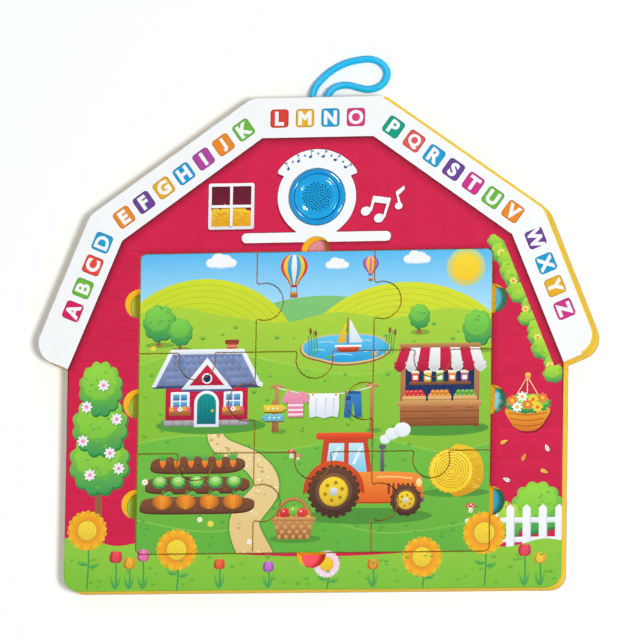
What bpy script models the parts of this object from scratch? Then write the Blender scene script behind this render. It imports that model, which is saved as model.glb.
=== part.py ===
"""A foam picture puzzle in a barn-shaped tray, with a press-to-play sound button and a cord handle.

Metres, +Z up. The tray lies on its back, its printed face looks along +Z and its roof along +Y.
The origin is the middle of the back, on the surface that the tray lies on.
"""

import math

import bmesh
import bpy
from mathutils import Vector

# Clearances
SEAT_GAP = 0.0003
SLIDE_GAP = 0.0003
KERF = 0.0005
OVERRUN = 0.0020
ARC_STEP = math.radians(22)

# Puzzle pieces, three by three
PIECE_WIDTH = 0.07693
PIECE_HEIGHT = 0.0650
ROWS = 3
COLUMNS = 3
KNOB_RADIUS = 0.0120
KNOB_REACH = 0.0055
KNOB_FILLET = 0.0016
WINDOW_CORNER = 0.0040
NOTCH_RADIUS = 0.0094

# Outline of the barn
SIDE_BORDER = 0.0465
SILL_HEIGHT = 0.0234
RIDGE_HALF = 0.0439
KNEE_INSET = 0.0126
KNEE_DROP = 0.07445
EAVE_OVERHANG = 0.0240
EAVE_DROP = 0.16465
ROOF_CORNER = 0.0138
FOOT_CORNER = 0.0100

# Layers
BOARD_THICK = 0.0020
SHEET_THICK = 0.0006

# Battery bay
CELL_RADIUS = 0.0058
CELL_HEIGHT = 0.0054
CELL_COUNT = 3
STRIP_THICK = 0.0003
STRIP_WIDTH = 0.0040
STRIP_OVERLAP = 0.0030
DOOR_THICK = 0.0020
DOOR_CORNER = 0.0015
LEDGE_WIDTH = 0.0015
LEDGE_THICK = 0.0010
CEILING_THICK = 0.0012
HEADROOM = 0.0016
DOOR_TAB = 0.0071

# Screws
SCREW_HEAD_RADIUS = 0.0019
SCREW_HEAD_THICK = 0.0010
SCREW_SHANK_RADIUS = 0.0009
SCREW_ENTRY = 0.0005
CROSS_LENGTH = 0.0022
CROSS_WIDTH = 0.0005
CROSS_DEPTH = 0.0006
DOOR_SCREW_LENGTH = 0.0066

# Sound module housing
HOUSING_WALL = 0.0018
HOUSING_CORNER = 0.0040
POST_SIZE = 0.0068
FOAM_WEB = 0.00455
SHELF_WIDTH = 0.0080
SHELF_RISE = 0.0011
LID_THICK = 0.0017

# Press button
BEZEL_RADIUS = 0.01835
BEZEL_FACE = 0.0035
COLLAR_WALL = 0.0013
LIP_THICK = 0.0014
BEZEL_PROUD = 0.0008
BEZEL_ROUND = 0.0007
CAP_TRAVEL = 0.0015
CAP_FLANGE = 0.0010
CAP_WALL = 0.0013
CAP_PROUD = 0.0008
CAP_ROUND = 0.0006
CAP_RING_SHARE = 0.75
CAP_DISH_SHARE = 0.62
DISH_DEPTH = 0.0009
GRILLE_HOLES = 36
GRILLE_HOLE_RADIUS = 0.0005
GRILLE_SHARE = 0.58
PLUNGER_RADIUS = 0.0009
SPRING_WIRE_RADIUS = 0.00025
SPRING_TURNS = 3
SPRING_POINTS_PER_TURN = 12

# Speaker
SPEAKER_INSET = 0.00485
SPEAKER_RIM = 0.0013
SPEAKER_SURROUND = 0.0013
RIB_THICK = 0.0006
RIB_DROP = 0.0014
MAGNET_RADIUS = 0.0070
MAGNET_THICK = 0.0015
SOUND_HOLE_INSET = 0.0019
CONE_THICK = 0.0004
BASKET_FLOOR = 0.0009

# Circuit board and what is on it
CIRCUIT_THICK = 0.0012
CHIP_RADIUS = 0.0045
CHIP_HEIGHT = 0.0016
SWITCH_SIZE = 0.0060
SWITCH_HEIGHT = 0.0030
SWITCH_KEY_RADIUS = 0.0016
SWITCH_KEY_HEIGHT = 0.0010
WIRE_RADIUS = 0.0004

# Cord handle
CORD_RADIUS = 0.0023
CORD_LEFT_X = -0.0063
CORD_RIGHT_X = 0.0033
CORD_ZONE = 0.03265
TAIL_LENGTH = 0.0150
KNOT_RADIUS = 0.0042
KNOT_HALF_HEIGHT = 0.0034
CORD_POINT_SPACING = 0.0092
CURVE_STEPS = 12
# The free loop's route after its left exit and before its right one: X, distance past the ridge, Z
CORD_ROUTE = (
    (-0.0062, 0.00405, 0.0056),
    (-0.0048, 0.00885, 0.0042),
    (-0.0016, 0.01355, 0.0029),
    (0.0030, 0.01795, 0.0024),
    (0.0086, 0.02165, 0.0024),
    (0.0152, 0.02455, 0.0024),
    (0.0222, 0.02615, 0.0024),
    (0.0292, 0.02675, 0.0024),
    (0.0352, 0.02535, 0.0024),
    (0.0398, 0.02175, 0.0024),
    (0.0417, 0.01685, 0.0024),
    (0.0400, 0.01165, 0.0024),
    (0.0354, 0.00805, 0.0024),
    (0.0294, 0.00695, 0.0024),
    (0.0232, 0.00815, 0.0024),
    (0.0176, 0.00975, 0.0024),
    (0.0124, 0.00985, 0.0027),
    (0.0076, 0.00815, 0.0038),
    (0.0044, 0.00435, 0.0054),
)

# Sizes that follow from the button
SPEAKER_RADIUS = BEZEL_RADIUS - SPEAKER_INSET

# Window and plan of the barn
WINDOW_HALF = COLUMNS * PIECE_WIDTH / 2
WALL_HALF = WINDOW_HALF + SIDE_BORDER
EAVE_HALF = WALL_HALF + EAVE_OVERHANG
KNEE_HALF = WALL_HALF - KNEE_INSET

# Battery bay, in plan: across the tray and up the tray from the button's middle
CELL_PITCH = 2 * CELL_RADIUS + SEAT_GAP
BAY_HALF = CELL_COUNT * CELL_PITCH / 2 + STRIP_THICK + 2 * SEAT_GAP
BAY_DEPTH = 2 * CELL_RADIUS + 2 * SEAT_GAP + SEAT_GAP
CAVITY_TOP = SPEAKER_RADIUS + SEAT_GAP + RIB_THICK + SEAT_GAP
BAY_START = CAVITY_TOP + CEILING_THICK
BAY_END = BAY_START + BAY_DEPTH
BAY_MIDDLE = (BAY_START + BAY_END) / 2
DOOR_START = BAY_START - LEDGE_WIDTH
DOOR_END = BAY_END + LEDGE_WIDTH
DOOR_LEFT = -BAY_HALF - LEDGE_WIDTH
DOOR_RIGHT = BAY_HALF + LEDGE_WIDTH + DOOR_TAB
DOOR_SCREW_X = DOOR_RIGHT - DOOR_TAB / 2

# Housing, in plan from the button's middle
HOUSING_HALF = DOOR_RIGHT + SEAT_GAP + LEDGE_WIDTH + POST_SIZE * 3 / 4
HOUSING_LOW = -(SPEAKER_RADIUS + POST_SIZE + SEAT_GAP + SEAT_GAP)
HOUSING_HIGH = DOOR_END + SEAT_GAP + HOUSING_WALL
CAVITY_HALF = HOUSING_HALF - HOUSING_WALL
CAVITY_LOW = HOUSING_LOW + HOUSING_WALL
SCREW_X = HOUSING_HALF - POST_SIZE / 2
SCREW_LOW_Y = HOUSING_LOW + POST_SIZE / 2
SCREW_HIGH_Y = HOUSING_HIGH - POST_SIZE / 2

# Places along the tray, from the window up
BUTTON_RISE = NOTCH_RADIUS + FOAM_WEB + SEAT_GAP - HOUSING_LOW
GABLE_HEIGHT = BUTTON_RISE + HOUSING_HIGH + SEAT_GAP + CORD_ZONE
WINDOW_HEIGHT = ROWS * PIECE_HEIGHT
BARN_HEIGHT = SILL_HEIGHT + WINDOW_HEIGHT + GABLE_HEIGHT
RIDGE_Y = BARN_HEIGHT / 2
FOOT_Y = -BARN_HEIGHT / 2
WINDOW_LOW = FOOT_Y + SILL_HEIGHT
WINDOW_HIGH = WINDOW_LOW + WINDOW_HEIGHT
BUTTON_Y = WINDOW_HIGH + BUTTON_RISE

# Heights, from the surface up
HOUSING_BACK = SEAT_GAP
DOOR_TOP = HOUSING_BACK + DOOR_THICK
LEDGE_LOW = DOOR_TOP + SEAT_GAP
HOUSING_FLOOR = LEDGE_LOW + LEDGE_THICK
DOOR_STRIP_LOW = DOOR_TOP + SEAT_GAP
CELL_LOW = DOOR_STRIP_LOW + STRIP_THICK + SEAT_GAP
CELL_HIGH = CELL_LOW + CELL_HEIGHT
STRIP_LOW = CELL_HIGH + SEAT_GAP
CEILING_LOW = STRIP_LOW + STRIP_THICK + SEAT_GAP
CEILING_HIGH = CEILING_LOW + CEILING_THICK
HOUSING_RIM = CEILING_HIGH + HEADROOM
LID_LOW = HOUSING_RIM + SEAT_GAP
LID_HIGH = LID_LOW + LID_THICK
FLANGE_LOW = LID_HIGH + SLIDE_GAP + CAP_TRAVEL
FLANGE_HIGH = FLANGE_LOW + CAP_FLANGE
LIP_LOW = FLANGE_HIGH + SLIDE_GAP
LIP_HIGH = LIP_LOW + LIP_THICK
FRONT_Z = LIP_HIGH - BEZEL_PROUD
CAP_HIGH = LIP_HIGH + CAP_PROUD
FOAM_LOW = BOARD_THICK + SEAT_GAP
FOAM_THICK = FRONT_Z - FOAM_LOW
SHEET_HIGH = FOAM_LOW + SHEET_THICK
PIECE_LOW = SHEET_HIGH + SEAT_GAP
PIECE_THICK = FOAM_THICK - SHEET_THICK
POCKET_HIGH = LID_HIGH + SEAT_GAP
SHELF_Z = HOUSING_FLOOR + SHELF_RISE
CIRCUIT_LOW = SHELF_Z + SEAT_GAP
CIRCUIT_HIGH = CIRCUIT_LOW + CIRCUIT_THICK
PARTS_LOW = CIRCUIT_HIGH + SEAT_GAP
CORD_Z = FOAM_LOW + SEAT_GAP + KNOT_HALF_HEIGHT

# Colours
RED = (0.70, 0.012, 0.065)
BOARD_WHITE = (0.86, 0.84, 0.78)
SKY = (0.10, 0.55, 0.90)
LIME = (0.45, 0.72, 0.04)
GRASS = (0.12, 0.50, 0.06)
BUTTON_BLUE = (0.0, 0.33, 0.80)
BEZEL_BLUE = (0.0, 0.22, 0.62)
CORD_BLUE = (0.0, 0.45, 0.85)
HOUSING_WHITE = (0.80, 0.80, 0.78)
STEEL = (0.62, 0.62, 0.64)
DARK_GREY = (0.05, 0.05, 0.055)
BOARD_GREEN = (0.02, 0.22, 0.07)
WIRE_RED = (0.70, 0.02, 0.02)
ROW_COLOURS = (SKY, LIME, GRASS)
ROW_NAMES = ("top", "middle", "bottom")
COLUMN_NAMES = ("left", "centre", "right")


# Scene and collections

for leftover in list(bpy.data.objects):
    bpy.data.objects.remove(leftover)
parts = bpy.data.collections.new("musical_puzzle")
cutters = bpy.data.collections.new("cutters")
bpy.context.scene.collection.children.link(parts)
bpy.context.scene.collection.children.link(cutters)


def material(name, colour, roughness, metallic=0.0):
    made = bpy.data.materials.get(name)
    if made is None:
        made = bpy.data.materials.new(name)
        made.use_nodes = True
        surface = made.node_tree.nodes["Principled BSDF"]
        surface.inputs["Base Color"].default_value = (*colour, 1.0)
        surface.inputs["Roughness"].default_value = roughness
        surface.inputs["Metallic"].default_value = metallic
    return made


FOAM = material("printed_foam_red", RED, 0.35)
BOARD = material("backing_board", BOARD_WHITE, 0.7)
SHEET = material("floor_print", LIME, 0.4)
CAP = material("button_blue", BUTTON_BLUE, 0.2)
BEZEL = material("bezel_blue", BEZEL_BLUE, 0.25)
CORD = material("cord_blue", CORD_BLUE, 0.6)
HOUSING = material("housing_plastic", HOUSING_WHITE, 0.4)
METAL = material("plated_steel", STEEL, 0.3, 1.0)
MAGNET = material("magnet_grey", DARK_GREY, 0.5)
CONE = material("speaker_paper", DARK_GREY, 0.8)
CIRCUIT = material("circuit_green", BOARD_GREEN, 0.4)
CHIP = material("chip_black", DARK_GREY, 0.3)
RED_WIRE = material("wire_red", WIRE_RED, 0.5)
BLACK_WIRE = material("wire_black", DARK_GREY, 0.5)


# Outlines, as lists of points in plan


def arc(x, y, radius, start, end):
    """Points on an arc, both ends included. It runs clockwise where end is less than start."""
    count = max(2, math.ceil(abs(end - start) / ARC_STEP))
    turns = [start + (end - start) * i / count for i in range(count + 1)]
    return [(x + radius * math.cos(turn), y + radius * math.sin(turn)) for turn in turns]


def circle(x, y, radius, sides):
    turns = [2 * math.pi * i / sides for i in range(sides)]
    return [(x + radius * math.cos(turn), y + radius * math.sin(turn)) for turn in turns]


def filleted(corners):
    """The outline through (x, y, radius) corners, each rounded by its radius. Zero leaves it sharp."""
    outline = []
    for i, (x, y, radius) in enumerate(corners):
        here = Vector((x, y))
        if radius == 0:
            outline.append((x, y))
            continue
        back = (Vector(corners[i - 1][:2]) - here).normalized()
        ahead = (Vector(corners[(i + 1) % len(corners)][:2]) - here).normalized()
        half_angle = back.angle(ahead) / 2
        centre = here + (back + ahead).normalized() * radius / math.sin(half_angle)
        first = here + back * radius / math.tan(half_angle) - centre
        last = here + ahead * radius / math.tan(half_angle) - centre
        start = math.atan2(first.y, first.x)
        sweep = math.atan2(first.cross(last), first.dot(last))
        outline += arc(centre.x, centre.y, radius, start, start + sweep)
    return outline


def rectangle(left, right, low, high, radius=0.0):
    corners = ((left, low), (right, low), (right, high), (left, high))
    return filleted([(x, y, radius) for x, y in corners])


def barn_outline():
    """The barn, anticlockwise from its left foot. The eave's underside is square to the lower roof."""
    slope = Vector((EAVE_HALF - KNEE_HALF, KNEE_DROP - EAVE_DROP))
    eave_y = RIDGE_Y - EAVE_DROP
    under_y = eave_y + EAVE_OVERHANG * slope.x / slope.y
    right = [
        (WALL_HALF, FOOT_Y, FOOT_CORNER),
        (WALL_HALF, under_y, 0.0),
        (EAVE_HALF, eave_y, ROOF_CORNER),
        (KNEE_HALF, RIDGE_Y - KNEE_DROP, ROOF_CORNER),
        (RIDGE_HALF, RIDGE_Y, ROOF_CORNER),
    ]
    left = [(-x, y, radius) for x, y, radius in reversed(right)]
    return filleted(right + left)


def notch_places():
    """Middle of each finger notch on the window's edge, and the direction that it opens away in."""
    rows = [WINDOW_HIGH - PIECE_HEIGHT * (row + 0.5) for row in range(ROWS)]
    left = [(-WINDOW_HALF, y, math.pi) for y in rows]
    right = [(WINDOW_HALF, y, 0.0) for y in reversed(rows)]
    low = [(0.0, WINDOW_LOW, -math.pi / 2)]
    high = [(0.0, WINDOW_HIGH, math.pi / 2)]
    return low + right + high + left


def window_outline(inset):
    """The window with its finger notches, drawn in by inset all round."""
    half = WINDOW_HALF - inset
    low, high = WINDOW_LOW + inset, WINDOW_HIGH - inset
    corner = WINDOW_CORNER - inset
    radius = NOTCH_RADIUS - inset
    lead = math.asin(inset / radius)
    places = notch_places()
    sides = (places[:1], places[1 : 1 + ROWS], places[1 + ROWS : 2 + ROWS], places[2 + ROWS :])
    turns = (-math.pi / 2, 0.0, math.pi / 2, math.pi)
    ends = ((half, low), (half, high), (-half, high), (-half, low))
    outline = []
    for side, turn, (x, y) in zip(sides, turns, ends):
        for notch_x, notch_y, away in side:
            start = away - math.pi / 2 - lead
            outline += arc(notch_x, notch_y, radius, start, away + math.pi / 2 + lead)
        middle_x = x - math.copysign(corner, x)
        middle_y = y + corner if y == low else y - corner
        outline += arc(middle_x, middle_y, corner, turn, turn + math.pi / 2)
    return outline


def knob_side(length, knob):
    """One side of a piece as (along, out) points, between its corners.

    knob is 1 where a knob stands out, -1 where a socket takes one, and 0 on a plain side.
    """
    if knob == 0:
        return []
    grow = -knob * KERF / 2
    middle = length / 2
    spread = math.sqrt((KNOB_RADIUS + KNOB_FILLET) ** 2 - (KNOB_REACH - KNOB_FILLET) ** 2)
    tilt = math.atan2(KNOB_REACH - KNOB_FILLET, spread)
    fillet = KNOB_FILLET - grow
    down = -math.pi / 2
    points = arc(middle - spread, KNOB_FILLET, fillet, down, tilt)
    points += arc(middle, KNOB_REACH, KNOB_RADIUS + grow, math.pi + tilt, -tilt)[1:-1]
    points += arc(middle + spread, KNOB_FILLET, fillet, math.pi - tilt, 3 * math.pi / 2)
    return [(along, knob * out) for along, out in points]


def piece_outline(row, column):
    """A piece in plan, anticlockwise from its lower left corner, about the middle of its place."""
    across = 1 if row % 2 == 0 else -1
    knobs = (
        1 if row < ROWS - 1 else 0,
        across if column < COLUMNS - 1 else 0,
        -1 if row > 0 else 0,
        -across if column > 0 else 0,
    )
    width, height = PIECE_WIDTH, PIECE_HEIGHT
    corners = ((-1, -1), (1, -1), (1, 1), (-1, 1))
    directions = ((1, 0), (0, 1), (-1, 0), (0, -1))
    outline = []
    for side, (sign_x, sign_y) in enumerate(corners):
        before, after = knobs[side - 1], knobs[side]
        gaps = [KERF / 2 if knob else KERF for knob in (before, after)]
        gap_x, gap_y = gaps if side % 2 == 0 else gaps[::-1]
        x = sign_x * (width / 2 - gap_x)
        y = sign_y * (height / 2 - gap_y)
        if before == 0 and after == 0:
            radius = WINDOW_CORNER - KERF
            start = math.pi + side * math.pi / 2
            middle = (x - sign_x * radius, y - sign_y * radius)
            outline += arc(*middle, radius, start, start + math.pi / 2)
        else:
            outline.append((x, y))
        direction = Vector(directions[side])
        outward = Vector((direction.y, -direction.x))
        corner = Vector((sign_x * width / 2, sign_y * height / 2))
        for along, out in knob_side(height if side % 2 else width, after):
            outline.append(tuple(corner + direction * along + outward * out))
    return outline


# Solids


def welded_mesh(source, name):
    """The evaluated mesh of an object, with doubled points joined, and the object taken away."""
    bpy.context.view_layer.update()
    graph = bpy.context.evaluated_depsgraph_get()
    mesh = bpy.data.meshes.new_from_object(source.evaluated_get(graph))
    mesh.name = name
    form = bmesh.new()
    form.from_mesh(mesh)
    bmesh.ops.remove_doubles(form, verts=form.verts, dist=1e-6)
    form.to_mesh(mesh)
    form.free()
    data = source.data
    bpy.data.objects.remove(source)
    bpy.data.curves.remove(data)
    return mesh


def place(name, mesh, place_at, surface, collection=parts):
    made = bpy.data.objects.new(name, mesh)
    collection.objects.link(made)
    made.location = place_at
    if surface is not None:
        mesh.materials.clear()
        mesh.materials.append(surface)
    if collection is cutters:
        made.hide_render = True
        made.display_type = "WIRE"
    return made


def plate(name, outlines, low, thick, surface=None, collection=parts, at=(0.0, 0.0)):
    """A flat solid from outlines in plan. Outlines inside the first one are holes."""
    curve = bpy.data.curves.new(name, "CURVE")
    curve.dimensions = "2D"
    curve.fill_mode = "BOTH"
    curve.extrude = thick / 2
    for outline in outlines:
        spline = curve.splines.new("POLY")
        spline.points.add(len(outline) - 1)
        for point, (x, y) in zip(spline.points, outline):
            point.co = (x, y, 0.0, 1.0)
        spline.use_cyclic_u = True
    source = bpy.data.objects.new(name + "_outline", curve)
    parts.objects.link(source)
    mesh = welded_mesh(source, name)
    return place(name, mesh, (at[0], at[1], low + thick / 2), surface, collection)


def turned(name, profile, at, surface=None, collection=parts, steps=32, closed=True):
    """A turned solid about Z from a profile of (radius, height) points, clockwise seen with Z up."""
    mesh = bpy.data.meshes.new(name)
    edges = [(i, i + 1) for i in range(len(profile) - 1)]
    if closed:
        edges.append((len(profile) - 1, 0))
    mesh.from_pydata([(radius, 0.0, height) for radius, height in profile], edges, [])
    made = place(name, mesh, at, surface, collection)
    screw = made.modifiers.new("turn", "SCREW")
    screw.axis = "Z"
    screw.angle = 2 * math.pi
    screw.steps = steps
    screw.render_steps = steps
    screw.use_merge_vertices = True
    screw.merge_threshold = 1e-5
    screw.use_smooth_shade = True
    return made


def tube(name, points, radius, surface, collection=parts, resolution=2, at=(0.0, 0.0, 0.0)):
    """A round tube with closed ends through the points, which are given in the part's own frame."""
    curve = bpy.data.curves.new(name, "CURVE")
    curve.dimensions = "3D"
    curve.bevel_depth = radius
    curve.bevel_resolution = resolution
    curve.use_fill_caps = True
    spline = curve.splines.new("POLY")
    spline.points.add(len(points) - 1)
    for point, (x, y, z) in zip(spline.points, points):
        point.co = (x - at[0], y - at[1], z - at[2], 1.0)
    source = bpy.data.objects.new(name + "_line", curve)
    parts.objects.link(source)
    return place(name, welded_mesh(source, name), at, surface, collection)


def peg(name, x, y, low, high, radius, sides=16, collection=cutters):
    """A round bar along Z."""
    mesh = bpy.data.meshes.new(name)
    form = bmesh.new()
    bmesh.ops.create_cone(
        form, cap_ends=True, segments=sides, radius1=radius, radius2=radius, depth=high - low
    )
    form.to_mesh(mesh)
    form.free()
    return place(name, mesh, (x, y, (low + high) / 2), None, collection)


def block(name, left, right, near, far, low, high, surface=None, collection=cutters):
    mesh = bpy.data.meshes.new(name)
    form = bmesh.new()
    bmesh.ops.create_cube(form, size=1.0)
    bmesh.ops.scale(form, vec=(right - left, far - near, high - low), verts=form.verts)
    form.to_mesh(mesh)
    form.free()
    middle = ((left + right) / 2, (near + far) / 2, (low + high) / 2)
    return place(name, mesh, middle, surface, collection)


def combine(body, other, operation="DIFFERENCE"):
    change = body.modifiers.new(operation.lower() + "_" + other.name, "BOOLEAN")
    change.operation = operation
    change.solver = "EXACT"
    change.object = other


def smooth_path(points, spacing):
    """Points about spacing apart on a smooth curve through the given ones, both ends included."""
    knots = [Vector(point) for point in points]
    fine = []
    for i in range(len(knots) - 1):
        before = knots[i - 1] if i else 2 * knots[0] - knots[1]
        after = knots[i + 2] if i + 2 < len(knots) else 2 * knots[-1] - knots[-2]
        for step in range(CURVE_STEPS):
            t = step / CURVE_STEPS
            fine.append(
                (
                    2 * knots[i]
                    + (knots[i + 1] - before) * t
                    + (2 * before - 5 * knots[i] + 4 * knots[i + 1] - after) * t**2
                    + (3 * knots[i] - before - 3 * knots[i + 1] + after) * t**3
                )
                / 2
            )
    fine.append(knots[-1])
    lengths = [0.0]
    for start, end in zip(fine, fine[1:]):
        lengths.append(lengths[-1] + (end - start).length)
    count = max(2, round(lengths[-1] / spacing))
    path = []
    for i in range(count + 1):
        target = lengths[-1] * i / count
        j = max(1, next(k for k, length in enumerate(lengths) if length >= target - 1e-9))
        share = (target - lengths[j - 1]) / (lengths[j] - lengths[j - 1])
        path.append(tuple(fine[j - 1].lerp(fine[j], share)))
    return path


# Tray


def housing_plan(grow):
    """The sound housing in plan about the button's middle, grown all round."""
    low, high = HOUSING_LOW - grow, HOUSING_HIGH + grow
    half = HOUSING_HALF + grow
    return rectangle(-half, half, low, high, HOUSING_CORNER + grow)


def moved(outline, x, y):
    return [(point_x + x, point_y + y) for point_x, point_y in outline]


def make_front_frame():
    """The die-cut foam layer: window, finger notches, button hole, sound pocket and cord holes."""
    button_hole = circle(0.0, BUTTON_Y, BEZEL_RADIUS + SLIDE_GAP, 32)
    outlines = [barn_outline(), window_outline(0.0), button_hole]
    frame = plate("front_frame", outlines, FOAM_LOW, FOAM_THICK, FOAM)
    pocket = plate(
        "pocket_cutter",
        [moved(housing_plan(SEAT_GAP), 0.0, BUTTON_Y)],
        FOAM_LOW - OVERRUN,
        POCKET_HIGH - FOAM_LOW + OVERRUN,
        None,
        cutters,
    )
    combine(frame, pocket)
    knot_y = RIDGE_Y - TAIL_LENGTH
    reach = KNOT_RADIUS + SEAT_GAP
    knot_room = block(
        "knot_room_cutter",
        CORD_LEFT_X - reach,
        CORD_RIGHT_X + reach,
        knot_y - reach,
        knot_y + reach,
        FOAM_LOW - OVERRUN,
        CORD_Z + KNOT_HALF_HEIGHT + SEAT_GAP,
    )
    combine(frame, knot_room)
    for side, x in (("left", CORD_LEFT_X), ("right", CORD_RIGHT_X)):
        drill = peg(f"cord_drill_{side}", 0.0, 0.0, 0.0, TAIL_LENGTH, CORD_RADIUS + SEAT_GAP, 12)
        drill.location = (x, knot_y + TAIL_LENGTH / 2 + OVERRUN, CORD_Z)
        drill.rotation_euler = (math.pi / 2, 0.0, 0.0)
        combine(frame, drill)
    return frame


def make_back_board():
    opening = moved(housing_plan(SEAT_GAP), 0.0, BUTTON_Y)
    return plate("back_board", [barn_outline(), opening], 0.0, BOARD_THICK, BOARD)


def make_pieces():
    for row in range(ROWS):
        for column in range(COLUMNS):
            name = f"piece_{ROW_NAMES[row]}_{COLUMN_NAMES[column]}"
            colour = material(f"piece_print_{ROW_NAMES[row]}", ROW_COLOURS[row], 0.35)
            x = (column - (COLUMNS - 1) / 2) * PIECE_WIDTH
            y = WINDOW_HIGH - (row + 0.5) * PIECE_HEIGHT
            plate(name, [piece_outline(row, column)], PIECE_LOW, PIECE_THICK, colour, at=(x, y))


# Cord handle


def make_cord_end(side, x):
    """The tail that runs in the foam, with the knot that holds it."""
    knot_y = RIDGE_Y - TAIL_LENGTH
    tail = [(x, knot_y, CORD_Z), (x, RIDGE_Y, CORD_Z)]
    end = tube(f"cord_end_{side}", tail, CORD_RADIUS, CORD, resolution=3)
    mesh = bpy.data.meshes.new(f"knot_{side}")
    form = bmesh.new()
    bmesh.ops.create_uvsphere(form, u_segments=12, v_segments=8, radius=KNOT_RADIUS)
    squash = KNOT_HALF_HEIGHT / KNOT_RADIUS
    bmesh.ops.scale(form, vec=(1.0, 1.0, squash), verts=form.verts)
    form.to_mesh(mesh)
    form.free()
    knot = place(f"knot_{side}", mesh, (x, knot_y, CORD_Z), None, cutters)
    combine(end, knot, "UNION")


def make_cord():
    make_cord_end("left", CORD_LEFT_X)
    make_cord_end("right", CORD_RIGHT_X)
    near, far = RIDGE_Y + SEAT_GAP, RIDGE_Y + SEAT_GAP + CORD_RADIUS / 2
    route = [(x, RIDGE_Y + past, z) for x, past, z in CORD_ROUTE]
    leads = [(CORD_LEFT_X, far, CORD_Z), *route, (CORD_RIGHT_X, far, CORD_Z)]
    path = smooth_path(leads, CORD_POINT_SPACING)
    path = [(CORD_LEFT_X, near, CORD_Z), *path, (CORD_RIGHT_X, near, CORD_Z)]
    tube("cord_loop", path, CORD_RADIUS, CORD, resolution=3)


# Sound module


def make_screw(name, x, y, head_low, length):
    """A cross-head screw that points up, its head at the back."""
    profile = [
        (0.0, length),
        (SCREW_SHANK_RADIUS, length - SCREW_ENTRY),
        (SCREW_SHANK_RADIUS, SCREW_HEAD_THICK),
        (SCREW_HEAD_RADIUS, SCREW_HEAD_THICK),
        (SCREW_HEAD_RADIUS, 0.0),
        (0.0, 0.0),
    ]
    at = (x, y + BUTTON_Y, head_low)
    screw = turned(name, profile, at, METAL, steps=16, closed=False)
    half_long, half_wide = CROSS_LENGTH / 2, CROSS_WIDTH / 2
    for i, (half_x, half_y) in enumerate(((half_long, half_wide), (half_wide, half_long))):
        slot = block(
            f"{name}_slot_{i}",
            x - half_x,
            x + half_x,
            at[1] - half_y,
            at[1] + half_y,
            head_low - OVERRUN,
            head_low + CROSS_DEPTH,
        )
        combine(screw, slot)
    return screw


def screw_places():
    corners = ((-1, SCREW_LOW_Y), (1, SCREW_LOW_Y), (-1, SCREW_HIGH_Y), (1, SCREW_HIGH_Y))
    return [(sign * SCREW_X, y) for sign, y in corners]


def screw_hole_cutter(name, x, y, high):
    """Room for a screw from the back: a pocket for its head, and a bore for its shank up to high."""
    pocket_top = HOUSING_BACK + SCREW_HEAD_THICK + SEAT_GAP
    bore = SCREW_SHANK_RADIUS + SLIDE_GAP
    profile = [
        (0.0, high),
        (bore, high),
        (bore, pocket_top),
        (SCREW_HEAD_RADIUS + SLIDE_GAP, pocket_top),
        (SCREW_HEAD_RADIUS + SLIDE_GAP, HOUSING_BACK - OVERRUN),
        (0.0, HOUSING_BACK - OVERRUN),
    ]
    at = (x, y + BUTTON_Y, 0.0)
    return turned(name, profile, at, None, cutters, steps=16, closed=False)


def make_housing():
    """The tub that carries the cells, the circuit board and the screws."""
    body = plate(
        "module_housing",
        [housing_plan(0.0)],
        HOUSING_BACK,
        HOUSING_RIM - HOUSING_BACK,
        HOUSING,
        at=(0.0, BUTTON_Y),
    )
    top = HOUSING_RIM + OVERRUN

    def cut(name, left, right, near, far, low, high):
        cutter = block(name, left, right, near + BUTTON_Y, far + BUTTON_Y, low, high)
        combine(body, cutter)

    post = POST_SIZE - HOUSING_WALL
    low_y = CAVITY_LOW + post
    narrow = CAVITY_HALF - post
    cut("cavity_cutter", -CAVITY_HALF, CAVITY_HALF, low_y, CAVITY_TOP, SHELF_Z, top)
    cut("low_cavity_cutter", -narrow, narrow, CAVITY_LOW, low_y + post, SHELF_Z, top)
    well = CAVITY_HALF - SHELF_WIDTH
    well_y = (low_y + SHELF_RISE, CAVITY_TOP - SHELF_RISE)
    cut("well_cutter", -well, well, *well_y, HOUSING_FLOOR, top)
    bay = (-BAY_HALF, BAY_HALF, BAY_START, BAY_END)
    cut("bay_cutter", *bay, HOUSING_BACK - OVERRUN, CEILING_LOW)
    recess = (DOOR_LEFT - SLIDE_GAP, DOOR_RIGHT + SLIDE_GAP)
    recess_y = (DOOR_START - SLIDE_GAP, DOOR_END + SLIDE_GAP)
    cut("recess_cutter", *recess, *recess_y, HOUSING_BACK - OVERRUN, LEDGE_LOW)
    over = SCREW_X - POST_SIZE / 2
    cut("roof_room_cutter", -over, over, CAVITY_TOP - OVERRUN, DOOR_END, CEILING_HIGH, top)
    slot_in = BAY_HALF - STRIP_THICK - 3 * SEAT_GAP
    slot_out = BAY_HALF + SEAT_GAP
    slot_y = (BAY_MIDDLE - STRIP_WIDTH / 2 - SEAT_GAP, BAY_MIDDLE + STRIP_WIDTH / 2 + SEAT_GAP)
    slot_z = (CEILING_LOW - OVERRUN, CEILING_HIGH + OVERRUN)
    cut("left_slot_cutter", -slot_out, -slot_in, *slot_y, *slot_z)
    cut("right_slot_cutter", slot_in, slot_out, *slot_y, *slot_z)
    bore = SCREW_SHANK_RADIUS + SLIDE_GAP
    door_bore_top = HOUSING_BACK + DOOR_SCREW_LENGTH + SEAT_GAP
    boss = (DOOR_SCREW_X, BAY_MIDDLE + BUTTON_Y)
    combine(body, peg("door_bore", *boss, HOUSING_BACK - OVERRUN, door_bore_top, bore, 12))
    for i, (x, y) in enumerate(screw_places()):
        combine(body, screw_hole_cutter(f"screw_hole_{i}", x, y, top))
    return body


def make_housing_screws():
    length = LID_HIGH - SEAT_GAP - HOUSING_BACK
    for i, (x, y) in enumerate(screw_places()):
        make_screw(f"housing_screw_{i + 1}", x, y, HOUSING_BACK, length)


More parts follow.
